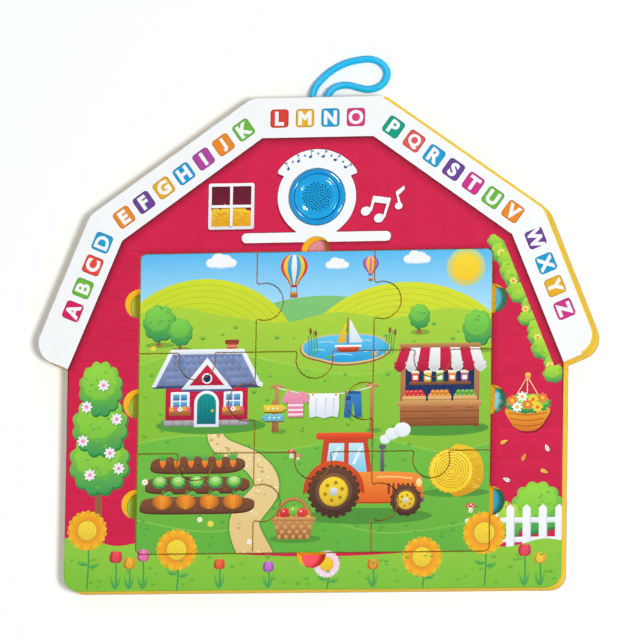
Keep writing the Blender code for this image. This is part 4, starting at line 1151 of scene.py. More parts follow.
def glyph(letter):
    """The outlines of a plain capital, about its middle, one unit high: outer ones first."""
    face = bpy.data.curves.new("letter", "FONT")
    face.body = letter
    text = bpy.data.objects.new("letter", face)
    bpy.context.scene.collection.objects.link(text)
    bpy.context.view_layer.update()
    loops = []
    for spline in text.to_curve(bpy.context.evaluated_depsgraph_get()).splines:
        knots = spline.bezier_points
        loop = []
        for a, b in zip(knots, [*knots[1:], knots[0]]):
            straight = (a.handle_right - a.co).length < 1e-4 and (b.handle_left - b.co).length < 1e-4
            made = interpolate_bezier(a.co, a.handle_right, b.handle_left, b.co, 2 if straight else 7)
            loop += [tuple(point[:2]) for point in made[:-1]]
        loop = np.array(loop)
        loops.append(loop[np.linalg.norm(loop - np.roll(loop, 1, 0), axis=1) > 1e-4])
    text.to_curve_clear()
    bpy.data.objects.remove(text)
    bpy.data.curves.remove(face)
    loops.sort(key=lambda loop: -abs(turning(loop)))
    sign = turning(loops[0])
    outer = [loop for loop in loops if turning(loop) * sign > 0]
    holes = [loop for loop in loops if turning(loop) * sign < 0]
    low, high = loops[0].min(0), loops[0].max(0)
    middle, height = (low + high) / 2, high[1] - low[1]
    tidy = lambda loop: (anticlockwise(loop) - middle) / height
    return [tidy(loop) for loop in outer], [tidy(loop) for loop in holes]


LETTER_BOLD = 0.075


def paint_tiles(sheet):
    tile = box_shape(-TILE_SIZE / 2, -TILE_SIZE / 2, TILE_SIZE / 2, TILE_SIZE / 2, TILE_CORNER)
    for letter, x, y, degrees, colour in TILES:
        turn = math.radians(degrees)
        darker = tuple(0.86 * level for level in colour)
        sheet.paint(at(tile, x, y, 1.0, turn), darker)
        sheet.paint(at(grown(tile, -0.7), x, y, 1.0, turn), colour)
        outer, holes = glyph(letter)
        for loop in outer:
            sheet.paint(at(grown(loop, LETTER_BOLD), x, y, LETTER_HEIGHT, turn), WHITE)
        for loop in holes:
            sheet.paint(at(grown(loop, -LETTER_BOLD * 0.6), x, y, LETTER_HEIGHT, turn), colour)


ROOF_TOP = RIDGE_Y - 26.2
ROOF_INNER = (
    (-WALL_HALF, under_eave()), (-127.6, 67.8), (-36.45, ROOF_TOP), (36.45, ROOF_TOP), (127.6, 67.8),
    (WALL_HALF, under_eave())
)


BARE_WIDTH = 1.7


def paint_walls(sheet):
    """Red boards: upright in the gable, level at the sides, in the roof's shade along the top."""
    rng = random.Random(3)
    sheet.paint(box_shape(-200, -170, 200, 170), RED)
    step = 9.2
    for i in range(-15, 15):
        x = i * step
        tone = 1 + 0.02 * rng.uniform(-1, 1)
        colour = tuple(level * tone for level in RED)
        sheet.paint(box_shape(x, WINDOW_HIGH + 2.6, x + step - 0.35, 140), colour)
        sheet.paint(
            box_shape(x + step - 0.35, WINDOW_HIGH + 2.6, x + step, 140),
            tuple(level * 0.955 for level in RED)
        )
    for i in range(30):
        y = WINDOW_HIGH + 2.6 - (i + 1) * 6.6
        for side in (-1, 1):
            low, high = sorted((side * (WINDOW_HALF - 1), side * 168))
            tone = 1 + 0.018 * rng.uniform(-1, 1)
            colour = tuple(level * tone for level in RED)
            lower = tuple(level * tone * 0.965 for level in RED)
            sheet.paint(box_shape(low, y, high, y + 6.6), colour, lower)
            sheet.paint(box_shape(low, y, high, y + 0.4), tuple(level * 0.93 for level in RED))
    sheet.paint(
        box_shape(-WALL_HALF, WINDOW_HIGH + 1.9, WALL_HALF, WINDOW_HIGH + 2.6),
        tuple(level * 0.9 for level in RED)
    )
    edge_shade(sheet, (WINDOW_HALF, WINDOW_LOW), (WINDOW_HALF, WINDOW_HIGH), 6.0, (186, 19, 60), RED)
    edge_shade(sheet, (-WINDOW_HALF, WINDOW_HIGH), (WINDOW_HALF, WINDOW_HIGH), -4.0, (196, 21, 64), RED)


def edge_shade(sheet, a, b, width, dark, plain):
    """An even shade that fades out at a right angle to a line. It lies on the line's right."""
    a, b = np.array(a, float), np.array(b, float)
    along = (b - a) / np.linalg.norm(b - a)
    away = np.array((along[1], -along[0]))
    quad = np.array((a, b, b + away * width, a + away * width))
    middle = (a + b) / 2
    sheet.paint(quad, dark, plain, (*middle, *(middle + away * width)))


def paint_roof(sheet):
    """The white roof band, with its shade on the boards under it."""
    for reach, dark in ((6.5, (170, 15, 52)), (2.4, (128, 9, 38))):
        for a, b in zip(ROOF_INNER, ROOF_INNER[1:]):
            edge_shade(sheet, a, b, reach, dark, RED if reach > 3 else (190, 20, 60))
    inner = np.array(ROOF_INNER)
    shadow = inner + ((0.95, 0.2), (0.8, -0.3), (0.35, -0.8), (-0.35, -0.8), (-0.8, -0.3), (-0.95, 0.2))
    low, high = -60, 200
    around = [(220, low), (220, high), (-220, high), (-220, low)]
    eave = under_eave()
    outside = [(WALL_HALF, eave - 60), *around, (-WALL_HALF, eave - 60)]
    sheet.paint(np.array([*shadow, *outside[0:1], *around, *outside[-1:]]), DEEP_RED)
    sheet.paint(np.array([*inner, *outside[0:1], *around, *outside[-1:]]), WHITE)
    bare_edge(sheet)


def bare_edge(sheet):
    """A printed strip in the foam's colour along the right roof's edge, like a film that stops short of it."""
    outline = anticlockwise(barn_outline())
    inner, outer = grown(outline, -BARE_WIDTH), grown(outline, 1.0)
    along = [i for i, (x, y) in enumerate(outline) if x > RIDGE_HALF - 2 and y > under_eave()]
    strip = [outer[i] for i in along] + [inner[i] for i in along[-2:0:-1]]
    sheet.paint(np.array(strip), (250, 208, 48), (246, 198, 36), (0, RIDGE_Y, 0, 0))


def note(x, y, size, turn):
    """A single music note as two shapes: its head and its stem with a flag."""
    head = oval(0, 0, 2.6, 2.1, 0.35)
    stem = [(1.7, 0.4), (2.6, 0.4), (2.6, 8.4), (5.6, 6.6), (5.6, 8.6), (2.4, 10.8), (1.7, 10.6)]
    return [at(head, x, y, size, turn), at(stem, x, y, size, turn)]


def paint_gable(sheet):
    """White disc and banner round the button, the bar below, notes and a loft window."""
    centre = (0.0, BUTTON_Y)
    angles = np.radians(np.linspace(33, 146, 40))
    ring = lambda r, turns: np.c_[r * np.cos(turns), BUTTON_Y + r * np.sin(turns)]
    ends = np.radians((33 - 3.0, 146 + 3.0))
    band = np.r_[
        ring(30.9, angles), ring(29.9, ends[1:]), ring(26.0, ends[1:] - 0.02), ring(24.0, angles[::-1]),
        ring(26.0, ends[:1] + 0.02), ring(29.9, ends[:1])
    ]
    fillet = [(-12.4, 70.9), (12.4, 70.9), (16.5, 74.5), (0, 80), (-16.5, 74.5)]
    bar = box_shape(-48.8, 64.9, 48.8, 71.3, 3.1)
    white = [band, oval(*centre, 25.7, count=72), np.array(fillet), bar]
    for drop, colour in (((0.9, 1.5), (190, 20, 60)), ((0.6, 1.0), (160, 14, 48))):
        for shape in white:
            sheet.paint(shape - drop, colour)
    for shape in white:
        sheet.paint(grown(shape, 0.42) if shape is not white[2] else shape, DEEP_RED)
    edge_shade(sheet, (-48.0, 64.9), (48.0, 64.9), 3.4, (150, 12, 44), RED)
    for shape in white:
        sheet.paint(shape, WHITE)
    blue = (0, 92, 146)
    for i, degrees in enumerate(range(44, 138, 9)):
        turn = math.radians(degrees)
        spot = (28.0 * math.cos(turn), BUTTON_Y + 28.0 * math.sin(turn))
        if i % 2:
            sheet.paint(oval(*spot, 0.8), (0, 140, 200))
        else:
            for shape in note(spot[0], spot[1], 0.42, turn - math.pi / 2):
                sheet.paint(
                    at(
                        shape - spot, spot[0] - 1.7 * math.cos(turn) - 0.9 * math.sin(turn),
                        spot[1] - 1.7 * math.sin(turn) + 0.9 * math.cos(turn)
                    ),
                    blue
                )
    heads = ((32.2, 84.4), (40.8, 79.7))
    pair = [oval(x, y, 3.4, 2.9, 0.35) for x, y in heads]
    pair += [np.array([(34.4, 84.0), (36.2, 84.6), (38.6, 93.6), (36.7, 94.0)])]
    pair += [np.array([(43.0, 79.4), (44.8, 80.0), (48.6, 92.4), (46.8, 92.8)])]
    pair += [np.array([(36.0, 90.2), (47.1, 88.8), (48.6, 92.6), (37.2, 94.2)])]
    single = [
        oval(53.6, 87.4, 2.6, 2.3, 0.3),
        np.array([(53.9, 87.0), (55.4, 88.0), (52.8, 96.0), (51.4, 96.4)])
    ]
    single += [np.array([(51.4, 96.4), (52.6, 93.6), (57.4, 98.2), (57.0, 100.6)])]
    for shape in pair + single:
        sheet.paint(grown(shape, 0.5) - (0.2, 0.4), (150, 12, 44))
    for shape in pair + single:
        sheet.paint(shape, WHITE)
    paint_loft(sheet, -56.0, 89.0)


def paint_loft(sheet, x, y):
    """A square loft window with a cross bar, hay behind it."""
    half = 13.0
    sheet.paint(
        box_shape(x - half - 2.4, y - half - 3.2, x + half + 2.0, y + half + 1.6, 1.4), (160, 14, 48)
    )
    sheet.paint(
        box_shape(x - half - 2, y - half - 2, x + half + 2, y + half + 2, 1.4), WHITE, (232, 236, 240)
    )
    sheet.paint(box_shape(x - half, y - half, x + half, y + half, 0.5), (96, 16, 40), (134, 24, 52))
    hay = [(x - half, y - half), (x + half, y - half), (x + half, y - 3)]
    hay += [(x + half - (i + 1) * 2 * half / 9, y - 2.5 + 2.2 * (i % 2) + (i % 3)) for i in range(8)]
    sheet.paint(np.array([*hay, (x - half, y - 3)]), (255, 214, 60), (236, 164, 24))
    rng = random.Random(5)
    for _ in range(22):
        spot = (x + rng.uniform(-10, 10), y + rng.uniform(-11.5, -4))
        sheet.paint(
            at(box_shape(-2.2, -0.18, 2.2, 0.18), *spot, 1.0, rng.uniform(-0.9, 0.9)), (206, 138, 18)
        )
    for shape in (
        box_shape(x - 0.9, y - half, x + 0.9, y + half), box_shape(x - half, y - 0.9, x + half, y + 0.9)
    ):
        sheet.paint(shape - (0.25, 0.5), (110, 60, 30))
    for shape in (
        box_shape(x - 0.9, y - half, x + 0.9, y + half), box_shape(x - half, y - 0.9, x + half, y + 0.9)
    ):
        sheet.paint(shape, WHITE)


# The picture on the pieces and the garden round it

LIME, LEAF, FIELD, MEADOW = (172, 214, 62), (120, 196, 66), (150, 206, 62), (100, 186, 72)
DEEP_LEAF, SHADE_LEAF = (62, 158, 84), (44, 140, 86)
BARK, SOIL, GOLD = (172, 108, 70), (122, 74, 48), (250, 190, 30)
SLATE, NAVY = (128, 146, 190), (24, 44, 92)
CREAM, ROSE = (255, 240, 200), (246, 158, 186)
picture = Sheet()


def scaled(colour, share):
    return tuple(min(255, level * share) for level in colour)


def mixed(first, second, share):
    return tuple(a + (b - a) * share for a, b in zip(first, second))


def line(points, width):
    """A stroke of even width, smooth where it has more than two points."""
    return ribbon(curve(points, False) if len(points) > 2 else np.array(points, float), width)


def blotch(x, y, half_x, half_y, seed, rough=0.08, count=14):
    """An uneven round patch."""
    rng = random.Random(seed)
    spots = []
    for i in range(count):
        angle = 2 * math.pi * i / count
        reach = 1 + rough * rng.uniform(-1, 1)
        spots.append((x + half_x * reach * math.cos(angle), y + half_y * reach * math.sin(angle)))
    return curve(spots)


def cloud(sheet, x, y, size):
    parts = (
        (-1.1, 0.0, 0.8, 0.55), (-0.35, 0.42, 0.85, 0.75), (0.55, 0.3, 0.8, 0.65),
        (1.25, -0.02, 0.7, 0.5), (0.1, -0.15, 1.5, 0.45)
    )
    for drop, colour in ((0.16, (196, 228, 246)), (0.0, (252, 254, 255))):
        for a, b, half_x, half_y in parts:
            sheet.paint(
                oval(x + a * size, y + (b - drop) * size, half_x * size, half_y * size, count=28),
                colour
            )


def hill(sheet, x, y, half_x, half_y, high, low, rows=13, sway=0.0):
    """A striped field: rows that follow the hill's round back."""
    sheet.paint(oval(x, y, half_x, half_y, sway, 90), scaled(high, 1.04), low)
    for i in range(1, rows):
        share = 1 - i / (rows + 1.5)
        row = oval(
            x - half_x * 0.16 * i / rows, y - half_y * 0.05 * i / rows, half_x * share, half_y * share,
            sway, 80
        )
        sheet.paint(grown(row, 0.32), scaled(mixed(high, low, 0.3), 0.9), scaled(low, 0.93))
        sheet.paint(row, mixed(scaled(high, 1.04), low, 0.04 * i), low)


def balloon(sheet, x, y, size, colours):
    rim = [
        (0, 1.15), (0.66, 0.98), (0.98, 0.4), (0.86, -0.16), (0.46, -0.72), (0.22, -1.08),
        (-0.22, -1.08)
    ]
    rim += [(-0.46, -0.72), (-0.86, -0.16), (-0.98, 0.4), (-0.66, 0.98)]
    for share, colour in zip((1.0, 0.78, 0.5, 0.2), colours):
        gore = curve([(a * share, b) for a, b in rim])
        sheet.paint(at(gore, x, y, size), scaled(colour, 1.05), scaled(colour, 0.86))
    sheet.paint(at(box_shape(-0.24, -1.2, 0.24, -1.04, 0.05), x, y, size), scaled(colours[0], 0.75))
    for side in (-1, 1):
        rope = np.array(
            [(side * 0.2, -1.15), (side * 0.24, -1.15), (side * 0.21, -1.6), (side * 0.17, -1.6)]
        )
        sheet.paint(at(rope, x, y, size), (120, 84, 60))
    sheet.paint(
        at(box_shape(-0.28, -1.95, 0.28, -1.56, 0.08), x, y, size), (196, 134, 74), (150, 94, 50)
    )
    sheet.paint(at(box_shape(-0.32, -1.64, 0.32, -1.54, 0.05), x, y, size), (222, 164, 100))


def leafy(sheet, x, y, half_x, half_y, lobes, seed, colours=(LEAF, LEAF, DEEP_LEAF), fruit=None):
    """A round crown: lobed edge, darker foot, lighter shoulder, small leaf marks and fruit."""
    high, middle, low = colours
    sheet.paint(
        crown(x + half_x * 0.03, y - half_y * 0.05, half_x * 1.02, half_y * 1.02, lobes, 0.11),
        scaled(low, 0.92), scaled(low, 0.8)
    )
    sheet.paint(crown(x, y, half_x, half_y, lobes, 0.12), scaled(high, 1.03), low)
    sheet.paint(
        crown(x - half_x * 0.04, y + half_y * 0.16, half_x * 0.84, half_y * 0.74, lobes - 2, 0.09, 0.3),
        scaled(high, 1.0), mixed(middle, low, 0.42)
    )
    sheet.paint(
        crown(
            x - half_x * 0.05, y + half_y * 0.22, half_x * 0.78, half_y * 0.66, lobes - 2, 0.09, 0.34
        ),
        scaled(high, 1.07), mixed(high, middle, 0.6)
    )
    rng = random.Random(seed)
    marks = int(half_x * half_y / 22)
    for _ in range(marks):
        angle, reach = rng.uniform(0, 2 * math.pi), math.sqrt(rng.uniform(0, 0.66))
        a, b = x + half_x * reach * math.cos(angle), y + half_y * reach * math.sin(angle)
        leaf = np.array([(-1.6, 0), (-0.7, 0.62), (0.5, 0.6), (1.7, 0), (0.5, -0.5), (-0.7, -0.55)])
        sheet.paint(
            at(leaf, a, b, rng.uniform(0.8, 1.15), rng.uniform(-0.9, 0.9)),
            scaled(mixed(high, low, 0.35), 0.97)
        )
    if fruit:
        for i in range(max(5, marks // 4)):
            angle, reach = 2.4 * i + 0.5, 0.3 + 0.5 * ((i * 0.618) % 1)
            a, b = x + half_x * reach * math.cos(angle), y + half_y * reach * math.sin(angle)
            sheet.paint(oval(a + 0.3, b - 0.5, 2.2, 2.1), scaled(low, 0.85))
            sheet.paint(oval(a, b, 2.2, 2.1), scaled(fruit, 1.08), scaled(fruit, 0.84))
            sheet.paint(oval(a - 0.7, b + 0.8, 0.6, 0.4, 0.5), mixed(fruit, (255, 255, 255), 0.6))
            sheet.paint(
                at(np.array([(-0.2, 0), (0.2, 0), (0.6, 1.4), (0.2, 1.5)]), a, b + 1.8), (110, 80, 40)
            )


def trunk(sheet, x, y, width, height, lean=0.0):
    shape = [
        (x - width, y), (x - width * 0.5, y + height * 0.3), (x - width * 0.4 + lean, y + height),
        (x + width * 0.4 + lean, y + height)
    ]
    shape += [(x + width * 0.55, y + height * 0.3), (x + width * 1.1, y)]
    sheet.paint(curve(shape), scaled(BARK, 0.86), BARK)
    for share in (-0.1, 0.25):
        sheet.paint(
            line(
                [
                    (x + width * share, y + height * 0.15),
                    (x + width * share * 0.7 + lean / 2, y + height * 0.5),
                    (x + width * share * 0.6 + lean, y + height * 0.85)
                ],
                0.45
            ),
            scaled(BARK, 0.78)
        )


def blossom(sheet, x, y, radius, petals, outer, inner, eye, turn=0.0):
    """A large flower head with two rings of petals and a seeded eye."""
    for ring_turn, share, high in ((math.pi / petals, 1.0, scaled(outer, 0.9)), (0.0, 0.97, outer)):
        for i in range(petals):
            angle = turn + ring_turn + 2 * math.pi * i / petals
            width = 1.5 * radius * math.pi / petals / 2
            petal = curve(
                [
                    (radius * 0.25, -width * 0.4), (radius * 0.7, -width), (radius * share, 0),
                    (radius * 0.7, width), (radius * 0.25, width * 0.4)
                ],
                True, 4
            )
            tip = np.array((x + math.cos(angle), y + math.sin(angle)))
            sheet.paint(
                at(petal, x, y, 1.0, angle), inner, high, (x, y, *(tip + (tip - (x, y)) * radius))
            )
    sheet.paint(oval(x, y, radius * 0.5, count=30), scaled(eye, 0.82), scaled(eye, 0.74))
    sheet.paint(oval(x, y, radius * 0.46, count=30), scaled(eye, 1.06), scaled(eye, 0.95))
    for i in range(34):
        angle, reach = 2.39996 * i, radius * 0.42 * math.sqrt((i + 0.5) / 34)
        sheet.paint(
            oval(x + reach * math.cos(angle), y + reach * math.sin(angle), radius * 0.026, count=6),
            scaled(eye, 0.8)
        )


def stalk(sheet, x, y, foot, lean=0.0):
    """A stem with two leaves, from the flower down to the ground."""
    sheet.paint(
        line([(x, y), (x + lean, (y + foot) / 2), (x + lean * 0.4, foot)], 0.9), scaled(DEEP_LEAF, 0.95)
    )
    middle = foot + (y - foot) * 0.42
    for side in (-1, 1):
        leaf = curve([(0, 0), (3.2, 1.9), (8.2, 2.6), (5.2, -0.6)])
        leaf = leaf * (side, 1)
        sheet.paint(
            at(leaf, x + lean * 0.8, middle - 1.5 * (side > 0), 0.9), scaled(LEAF, 0.96), DEEP_LEAF
        )


def tulip(sheet, x, y, foot, size, colour):
    sheet.paint(line([(x, y), (x + 0.6, (y + foot) / 2), (x, foot)], 1.0), DEEP_LEAF)
    for side in (-1, 1):
        leaf = curve([(0, 0), (2.6, 3.0), (3.6, 9.5), (1.2, 5.0)]) * (side, 1)
        sheet.paint(at(leaf, x, foot, 1.0), scaled(LEAF, 0.98), DEEP_LEAF)
    for side, share in ((-1, 0.82), (1, 0.9), (0, 1.08)):
        petal = curve([(0, -1.0), (0.62, -0.55), (0.55, 0.35), (0.1, 1.0), (-0.45, 0.4), (-0.6, -0.5)])
        sheet.paint(
            at(
                petal, x + side * size * 0.42, y + size * (0.25 - 0.08 * abs(side)), size * 0.9,
                -side * 0.22
            ),
            scaled(colour, share * 1.06), scaled(colour, share * 0.86)
        )


def daisy(sheet, x, y, size, petal=(255, 255, 255), eye=(255, 206, 40)):
    for i in range(8):
        angle = math.pi * i / 4
        sheet.paint(
            oval(
                x + 0.62 * size * math.cos(angle), y + 0.62 * size * math.sin(angle), size * 0.42,
                size * 0.24, angle, 10
            ),
            petal
        )
    sheet.paint(oval(x, y, size * 0.34, count=12), eye)


def tuft(sheet, x, y, size, colour):
    for lean in (-0.55, -0.18, 0.2, 0.6):
        blade = np.array([(-0.16, 0), (0.16, 0), (lean + 0.04, 1.15 - abs(lean) * 0.5)])
        sheet.paint(at(blade, x + 0.4 * lean * size, y, size), colour)


def fence(sheet, left, right, low, height, pitch, width=4.4):
    """White pickets with pointed heads on two rails."""
    grey = (206, 216, 228)
    for share in (0.28, 0.68):
        y = low + height * share
        sheet.paint(box_shape(left, y - 1.9, right, y + 1.3), grey)
        sheet.paint(box_shape(left, y - 1.3, right, y + 1.6), (250, 251, 253), (234, 239, 246))
    count = int((right - left) / pitch)
    for i in range(count + 1):
        x = left + (right - left) * i / count
        picket = np.array([
            (-width / 2, 0), (width / 2, 0), (width / 2, height - 2.2), (0, height),
            (-width / 2, height - 2.2)
        ])
        sheet.paint(picket + (x + 0.6, low - 0.2), grey)
        sheet.paint(picket + (x, low), (255, 255, 255), (238, 242, 248))


def cottage(sheet, x, y):
    """A red cottage with a slate roof, a round-headed door and white windows."""
    sheet.paint(oval(x + 3, y - 1, 36, 5.5), scaled(MEADOW, 0.84))
    sheet.paint(box_shape(x - 27, y, x + 27, y + 27), RED, (178, 18, 60))
    for i in range(1, 8):
        sheet.paint(box_shape(x - 27, y + i * 3.4, x + 27, y + i * 3.4 + 0.4), (176, 20, 58))
    sheet.paint(box_shape(x - 27, y + 23.6, x + 27, y + 27), (150, 14, 48), (196, 24, 68))
    sheet.paint(box_shape(x - 28.2, y - 1, x + 28.2, y + 2.6, 0.6), (168, 160, 166), (134, 128, 140))
    for i in range(9):
        sheet.paint(
            box_shape(x - 27.6 + i * 6.2, y - 0.6, x - 22.4 + i * 6.2, y + 2.2, 0.9), (190, 184, 190),
            (158, 152, 162)
        )
    sheet.paint(box_shape(x + 12.5, y + 36, x + 19.5, y + 53, 0.5), (214, 96, 62), (182, 66, 44))
    for i in range(5):
        sheet.paint(box_shape(x + 12.5, y + 38 + i * 3, x + 19.5, y + 38.5 + i * 3), (240, 190, 160))
    sheet.paint(box_shape(x + 11.4, y + 51.6, x + 20.6, y + 54.4, 0.8), (150, 62, 44))
    roof = np.array([(x - 34, y + 25), (x + 34, y + 25), (x + 23, y + 46.5), (x - 23, y + 46.5)])
    sheet.paint(grown(roof, 1.0) - (0, 0.8), (64, 76, 120))
    sheet.paint(roof, scaled(SLATE, 1.12), scaled(SLATE, 0.88))
    for k in range(5):
        level = y + 25 + 21.5 * (k + 1) / 5
        span = 34 - 11 * (k + 1) / 5
        for i in range(12):
            a = x - span + 2 * span * (i + 0.5 * (k % 2)) / 12
            if a + span / 6 <= x + span + 0.2:
                tile = curve(
                    [
                        (a, level), (a + span / 6, level), (a + span / 6 - 0.3, level - 2.6),
                        (a + span / 12, level - 4.0), (a + 0.3, level - 2.6)
                    ],
                    True, 3
                )
                sheet.paint(
                    tile, scaled(SLATE, 1.0 + 0.05 * ((i * 7 + k * 3) % 4) - 0.06), scaled(SLATE, 0.84)
                )
    sheet.paint(
        box_shape(x - 24.6, y + 45.2, x + 24.6, y + 48.4, 1.4), (255, 255, 255), (222, 228, 238)
    )
    for side in (-1, 1):
        trim = np.array(
            [(0, 0), (3.0, 0), (-8.2, 22.2), (-11.2, 22.2)]
        ) * (side, 1) + (x + side * 33.4, y + 24.2)
        sheet.paint(trim, (255, 255, 255), (228, 233, 242))
    gable = np.array([(x - 11.5, y + 25), (x + 11.5, y + 25), (x, y + 38.5)])
    sheet.paint(grown(gable, 3.2) - (0, 1.2), (84, 98, 144))
    sheet.paint(grown(gable, 2.9), (255, 255, 255), (232, 237, 245))
    sheet.paint(gable, RED, (190, 20, 62))
    sheet.paint(oval(x, y + 29.5, 3.4, count=26), (255, 255, 255))
    sheet.paint(oval(x, y + 29.5, 2.5, count=26), NAVY)
    arch = [(x - 6.2, y), (x + 6.2, y), (x + 6.2, y + 13.5)]
    arch += [
        (x + 6.2 * math.cos(t), y + 13.5 + 6.2 * math.sin(t))
        for t in np.linspace(0.2, math.pi - 0.2, 12)
    ] + [(x - 6.2, y + 13.5)]
    arch = np.array(arch)
    sheet.paint(grown(arch, 1.9), (255, 255, 255), (226, 232, 242))
    sheet.paint(arch, (0, 156, 150), (0, 112, 122))
    for i in range(1, 5):
        sheet.paint(box_shape(x - 6.2 + i * 2.48, y, x - 5.9 + i * 2.48, y + 17.6), (0, 98, 108))
    sheet.paint(oval(x + 3.8, y + 8.6, 0.9), GOLD)
    for side in (-1, 1):
        a = x + side * 17.4
        sheet.paint(box_shape(a - 6.4, y + 8.4, a + 6.4, y + 20.6, 0.9), (150, 14, 48))
        sheet.paint(
            box_shape(a - 6.2, y + 9.2, a + 6.2, y + 20.9, 0.9), (255, 255, 255), (230, 235, 244)
        )
        for dx in (-1, 1):
            for dy in (-1, 1):
                pane = box_shape(
                    a + dx * 2.5 - 2.1, y + 15 + dy * 2.4 - 2.0, a + dx * 2.5 + 2.1,
                    y + 15 + dy * 2.4 + 2.0, 0.3
                )
                sheet.paint(pane, (110, 190, 226), (48, 96, 160))
        sheet.paint(box_shape(a - 7.2, y + 5.6, a + 7.2, y + 9.2, 0.8), (196, 124, 70), (156, 90, 50))
        for i in range(5):
            daisy(
                sheet, a - 5.6 + 2.8 * i, y + 9.8 + 0.5 * (i % 2), 1.7,
                ((250, 190, 40), (240, 90, 130), (255, 255, 255))[i % 3], (250, 130, 30)
            )


def washing(sheet, left, right, y):
    """Clothes on a line between two posts."""
    for x in (left, right):
        sheet.paint(oval(x + 1.5, y - 27.5, 5, 1.6), scaled(LEAF, 0.85))
        sheet.paint(box_shape(x - 1.3, y - 28, x + 1.3, y + 4, 1.2), (206, 150, 96), (160, 104, 60))
        sheet.paint(box_shape(x - 4.5, y + 0.4, x + 4.5, y + 2.6, 1.0), (216, 160, 104), (176, 118, 70))
    sag = lambda x: y + 1.0 - 5.0 * (1 - ((x - (left + right) / 2) / ((right - left) / 2)) ** 2)
    xs = np.linspace(left, right, 24)
    sheet.paint(ribbon(np.array([(x, sag(x)) for x in xs]), 0.55), (250, 250, 250))
    span = right - left
    a = left + 0.2 * span
    top = sag(a)
    shirt = [
        (-7.4, 0), (-3, 0.6), (0, -1.4), (3, 0.6), (7.4, 0), (10.4, -6.2), (7.0, -7.8), (5.6, -5.6),
        (5.6, -17), (-5.6, -17), (-5.6, -5.6), (-7.0, -7.8), (-10.4, -6.2)
    ]
    shirt = np.array(shirt) * (0.9, 0.95)
    sheet.paint(shirt + (a + 0.6, top - 0.8), scaled(LEAF, 0.8))
    sheet.paint(shirt + (a, top), ROSE, (232, 122, 160))
    for k in range(3):
        sheet.paint(box_shape(a - 5.0, top - 9 - 3 * k, a + 5.0, top - 7.8 - 3 * k), (255, 236, 242))
    b = left + 0.5 * span
    top = sag(b) + 0.3
    sheet_shape = [
        (-9.5, 0.5), (9.5, 0.5), (9.9, -7), (9.0, -15), (4.8, -14.2), (0, -15.6), (-4.8, -14.2),
        (-9.4, -15.2), (-9.9, -7)
    ]
    cloth = np.array(sheet_shape)
    sheet.paint(cloth + (b + 0.6, top - 0.8), scaled(LEAF, 0.8))
    sheet.paint(cloth + (b, top), (255, 255, 255), (226, 232, 244))
    for dx in (-5.6, 0.6, 5.8):
        sheet.paint(
            np.array([
                (b + dx, top - 2), (b + dx + 1.1, top - 3), (b + dx + 0.4, top - 13.6),
                (b + dx - 0.5, top - 13.4)
            ]),
            (214, 222, 238)
        )
    c = left + 0.8 * span
    top = sag(c)
    trousers = [
        (-5.0, 0.4), (5.0, 0.4), (5.8, -16.4), (1.4, -16.8), (0.3, -6.4), (-0.3, -6.4), (-1.4, -16.8),
        (-5.8, -16.4)
    ]
    trousers = np.array(trousers)
    sheet.paint(trousers + (c + 0.6, top - 0.8), scaled(LEAF, 0.8))
    sheet.paint(trousers + (c, top), (60, 140, 206), (34, 96, 168))
    sheet.paint(box_shape(c - 5.0, top - 1.6, c + 5.0, top + 0.4), (34, 88, 150))
    sheet.paint(box_shape(c - 4.4, top - 5.6, c - 1.4, top - 2.8, 0.5), (28, 80, 144))
    for x in (a - 5, a + 5, b - 7.5, b + 7.5, c - 3.8, c + 3.8):
        sheet.paint(
            box_shape(x - 0.5, sag(x) - 1.1, x + 0.5, sag(x) + 1.5, 0.3), (250, 196, 60), (224, 140, 40)
        )


